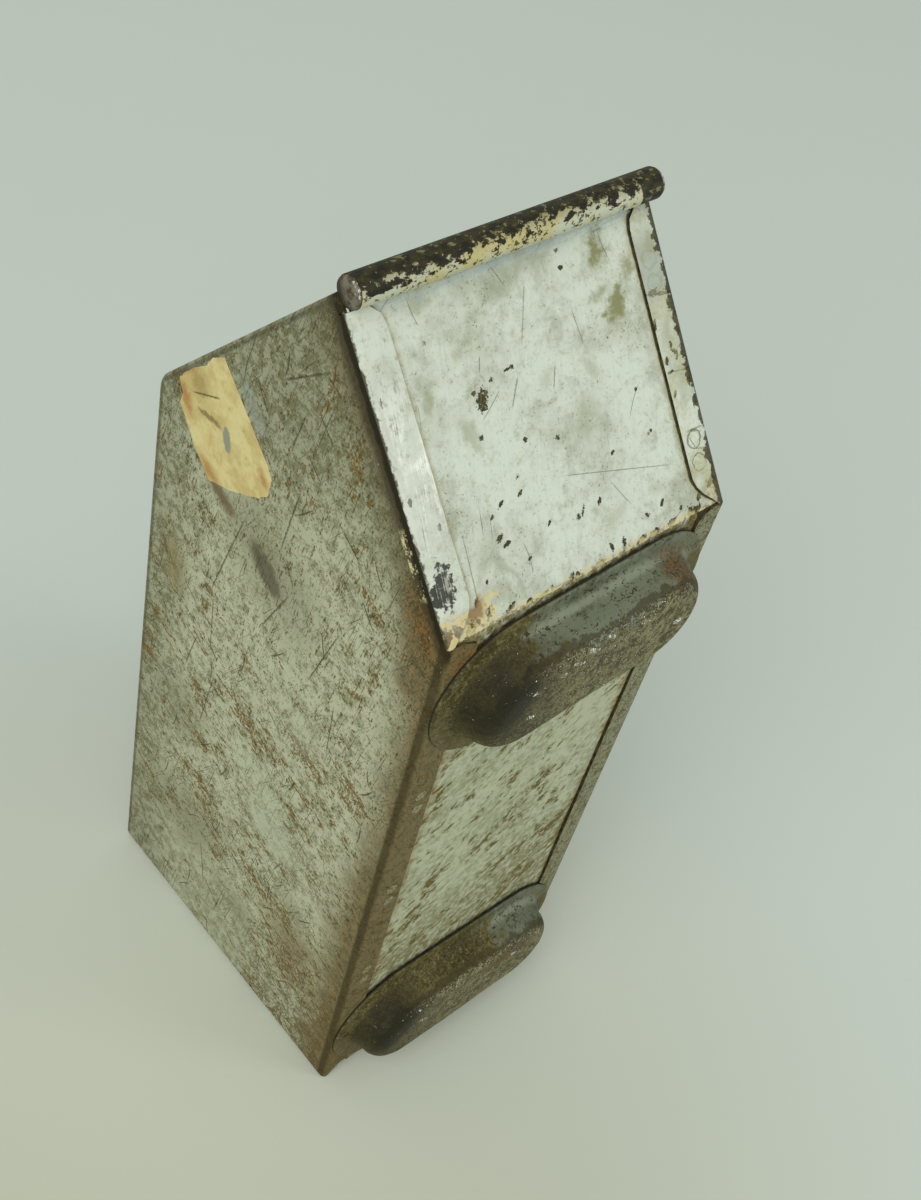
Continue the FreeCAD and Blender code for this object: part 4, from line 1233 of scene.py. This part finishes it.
def buildWelds(name, tree, seats, facing, radius, finish):
    mesh = bpy.data.meshes.new(name)
    mesh.from_pydata([toFrame(seat) for seat in seats], [], [])
    made = addObject(name, mesh)
    buttons = made.modifiers.new("weldButtons", "NODES")
    buttons.node_group = tree
    values = {
        "Radius": radius / 1000, "Height": weld["height"] / 1000, "Dish": weld["dish"] / 1000,
        "Facing": facing, "Seed": weld["seed"], "Finish": finish,
    }
    for item in tree.interface.items_tree:
        if item.name in values:
            buttons[item.identifier] = values[item.name]
    applyModifiers(made)
    shadeByAngle(made, weld["sharp"])
    return made


def flangeSeats(start, along, places):
    points = [start + along * place for place in places]
    return [(sign * weld["reach"], point.x, point.y) for point in points for sign in (-1, 1)]


def footSeats(place, skew):
    seats = []
    for a in (-weld["footReach"], weld["footReach"]):
        for b in (-weld["footRise"], weld["footRise"]):
            x, z = footPlace(a, b, place, skew)
            seats.append((x, -foot["plate"], z))
    return seats


weldTree = makeWeldTree()
floorWeld = makeWeldPaint("floorWeld", lambda y, z: y, (150, 148, 114), (108, 98, 62))
backWeld = makeWeldPaint("backWeld", lambda y, z: z, (150, 148, 114), (108, 98, 62))
footWeld = makeWeldPaint("footWeld", lambda y, z: y + foot["plate"], (112, 112, 88), (88, 78, 48))
floorPlaces = weldPlaces(weld["floorMargin"], shell["underside"] - weld["floorMargin"], 3)
backPlaces = weldPlaces(weld["backMargin"], backTop - weld["backMargin"], 3)
underPlaces = weldPlaces(-weld["underReach"], weld["underReach"], 3)
origin, alongFloor, alongBack = Vector((0, 0)), Vector((0, 1)), Vector((1, 0))
ahead, down, rear = (0, outFront.x, outFront.y), (0, -1, 0), (0, 0, -1)
frontSeats = flangeSeats(frontBend, alongFront, weld["frontPlaces"])
underSeats = [(x, 0.0, weld["underPlace"]) for x in underPlaces]
weldGroups = {
    "front_flange_welds": (frontSeats, ahead, weld["radius"], flangePaint),
    "floor_flange_welds": (flangeSeats(origin, alongFloor, floorPlaces), down, weld["radius"], floorWeld),
    "back_flange_welds": (flangeSeats(origin, alongBack, backPlaces), rear, weld["radius"], backWeld),
    "back_floor_welds": (underSeats, down, weld["radius"], floorWeld),
}
for name, place, skew, *_ in feet:
    weldGroups[name + "_welds"] = (footSeats(place, skew), down, weld["footRadius"], footWeld)
for name, (seats, facing, radius, finish) in weldGroups.items():
    buttons = buildWelds(name.replace("welds", "buttons"), weldTree, seats, facing, radius, finish)
    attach(buttons, "root")
    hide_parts(name)
print("welds made:", sum(len(group[0]) for group in weldGroups.values()))


# Torn paper tape on the left side
tape = {
    "width": 38.6, "length": 44.0, "tilt": 4.6, "edgeGap": 0.3, "rimGap": 6.5, "step": 1.1, "thick": 0.12,
    "tear": 0.45, "tearSize": 1.7, "straightEdges": (4, 11, 12), "straightShare": 0.25,
    "lift": 0.02, "wrinkle": 0.1, "wrinkleSize": 5.0, "sharp": 40, "seed": 3,
    "outline": (
        (0.16, 0.05), (0.4, 0.01), (0.66, 0.02), (0.8, -0.02), (0.97, 0), (1.02, 0.78), (1, 0.89), (0.86, 0.99),
        (0.71, 1), (0.52, 0.97), (0.27, 0.91), (0, 0.82), (-0.02, 0.55), (0.02, 0.22), (0.12, 0.16),
    ),
}


def buildTape():
    noise.seed_set(tape["seed"])
    tilt = math.radians(tape["tilt"])
    along = intoNose * math.cos(tilt) - alongNose * math.sin(tilt)
    across = alongNose * math.cos(tilt) + intoNose * math.sin(tilt)
    corner = rimCorner + alongNose * tape["rimGap"] + intoNose * tape["edgeGap"]
    corners = [corner + across * (tape["width"] * u) + along * (tape["length"] * v) for u, v in tape["outline"]]
    outline = []
    for index, first in enumerate(corners):
        last = corners[(index + 1) % len(corners)]
        count = max(int((last - first).length / tape["step"]), 1)
        for step in range(count):
            spot = first.lerp(last, step / count)
            straight = tape["straightShare"] if index in tape["straightEdges"] else 1.0
            tear = noise.noise_vector(Vector((spot.x, spot.y, 7.0)) / tape["tearSize"])
            outline.append(spot + Vector((tear.x, tear.y)) * (tape["tear"] * straight))
    flat, faces = filledOutline(outline, tape["step"] * 1.3, tape["step"] * 0.6)
    points = []
    for spot in flat:
        wrinkle = 0.5 + 0.5 * noise.noise(Vector((spot.x, spot.y, 2.0)) / tape["wrinkleSize"])
        points.append((-shell["halfWidth"] - tape["lift"] - tape["wrinkle"] * wrinkle, spot.x, spot.y))
    made = makePiece("paper_tape_strip", points, [tuple(face) for face in faces], [tapePaper])
    closeSeams(made, False)
    addSkin(made, tape["thick"], 1)
    applyModifiers(made)
    shadeByAngle(made, tape["sharp"])
    return made


tape["piece"] = buildTape()
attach(tape["piece"], "root")
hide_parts("paper_tape")
print("tape made")


# CAD back panel keeps its shape
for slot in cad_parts["back_panel"].material_slots:
    slot.material = insidePaint


# Stage, light and camera
stage = {"floor": 14.0, "drop": -0.0003, "world": 0.59, "worldColour": (0.93, 0.97, 0.93, 1)}
# Place, aim, size and power of each lamp, in metres and watts
lamps = {
    "keyLight": ((-2.6, -1.1, 3.0), (0, 0, 0.15), 3.8, 92.0),
    "sheenLight": ((1.1, -1.56, 0.9), (0, 0, 0.3), 0.8, 6.0),
}
# The camera fitted to the photograph: its place in mm and its three axes
camera = {
    "place": (-292.71533, -172.90199, 604.86451), "lens": 47.326, "sensor": 36.0,
    "right": (0.74040434, -0.64339375, 0.19454025), "up": (0.38935234, 0.64645006, 0.65613037),
    "ahead": (0.54791073, 0.41005707, -0.72914129),
}


def buildStage():
    half = stage["floor"]
    mesh = bpy.data.meshes.new("studio_floor")
    corners = [(x * half, y * half, stage["drop"]) for x, y in ((-1, -1), (1, -1), (1, 1), (-1, 1))]
    mesh.from_pydata(corners, [], [(0, 1, 2, 3)])
    made = addObject("studio_floor", mesh)
    coat = Coat("floorCloth")
    place, x, y, _ = coat.measure()
    warm = coat.blot((x, y), (-200.0, -60.0), 0.0, (450.0, 450.0), 0.0, 0.1)
    coat.colour = coat.mix(warm, (200, 208, 199), (184, 187, 165))
    # Painted light: a pale pool on the floor round the bin
    paintedLightPool = coat.blot((x, y), (-60.0, 60.0), 0.0, (230.0, 200.0), 0.0, 0.15)
    coat.lay(paintedLightPool * 0.26, (232, 238, 226))
    weave = coat.noise(place, 30.0, 3.0)
    coat.lay(weave * 0.06, (184, 190, 180))
    mesh.materials.append(coat.finish(0.9))


def addLight(name, place, aim, size, power):
    lamp = bpy.data.lights.new(name, "AREA")
    lamp.energy = power
    lamp.shape = "DISK"
    lamp.size = size
    made = addObject(name, lamp)
    made.location = place
    made.rotation_euler = (Vector(aim) - Vector(place)).to_track_quat("-Z", "Y").to_euler()


def buildCamera():
    lens = bpy.data.cameras.new("camera")
    lens.lens = camera["lens"]
    lens.sensor_width = camera["sensor"]
    made = addObject("camera", lens)
    right, up, ahead = [Vector(camera[axis]) for axis in ("right", "up", "ahead")]
    turn = Matrix((right, up, -ahead)).transposed().to_4x4()
    made.matrix_world = Matrix.Translation(toFrame(camera["place"])) @ turn
    bpy.context.scene.camera = made


buildStage()
for name, (place, aim, size, power) in lamps.items():
    addLight(name, place, aim, size, power)
buildCamera()
world = bpy.data.worlds.new("softRoom")
world.use_nodes = True
sky = world.node_tree.nodes["Background"].inputs
sky["Color"].default_value = stage["worldColour"]
sky["Strength"].default_value = stage["world"]
bpy.context.scene.world = world
bpy.context.scene.view_settings.view_transform = "Standard"
print("stage, light and camera set")
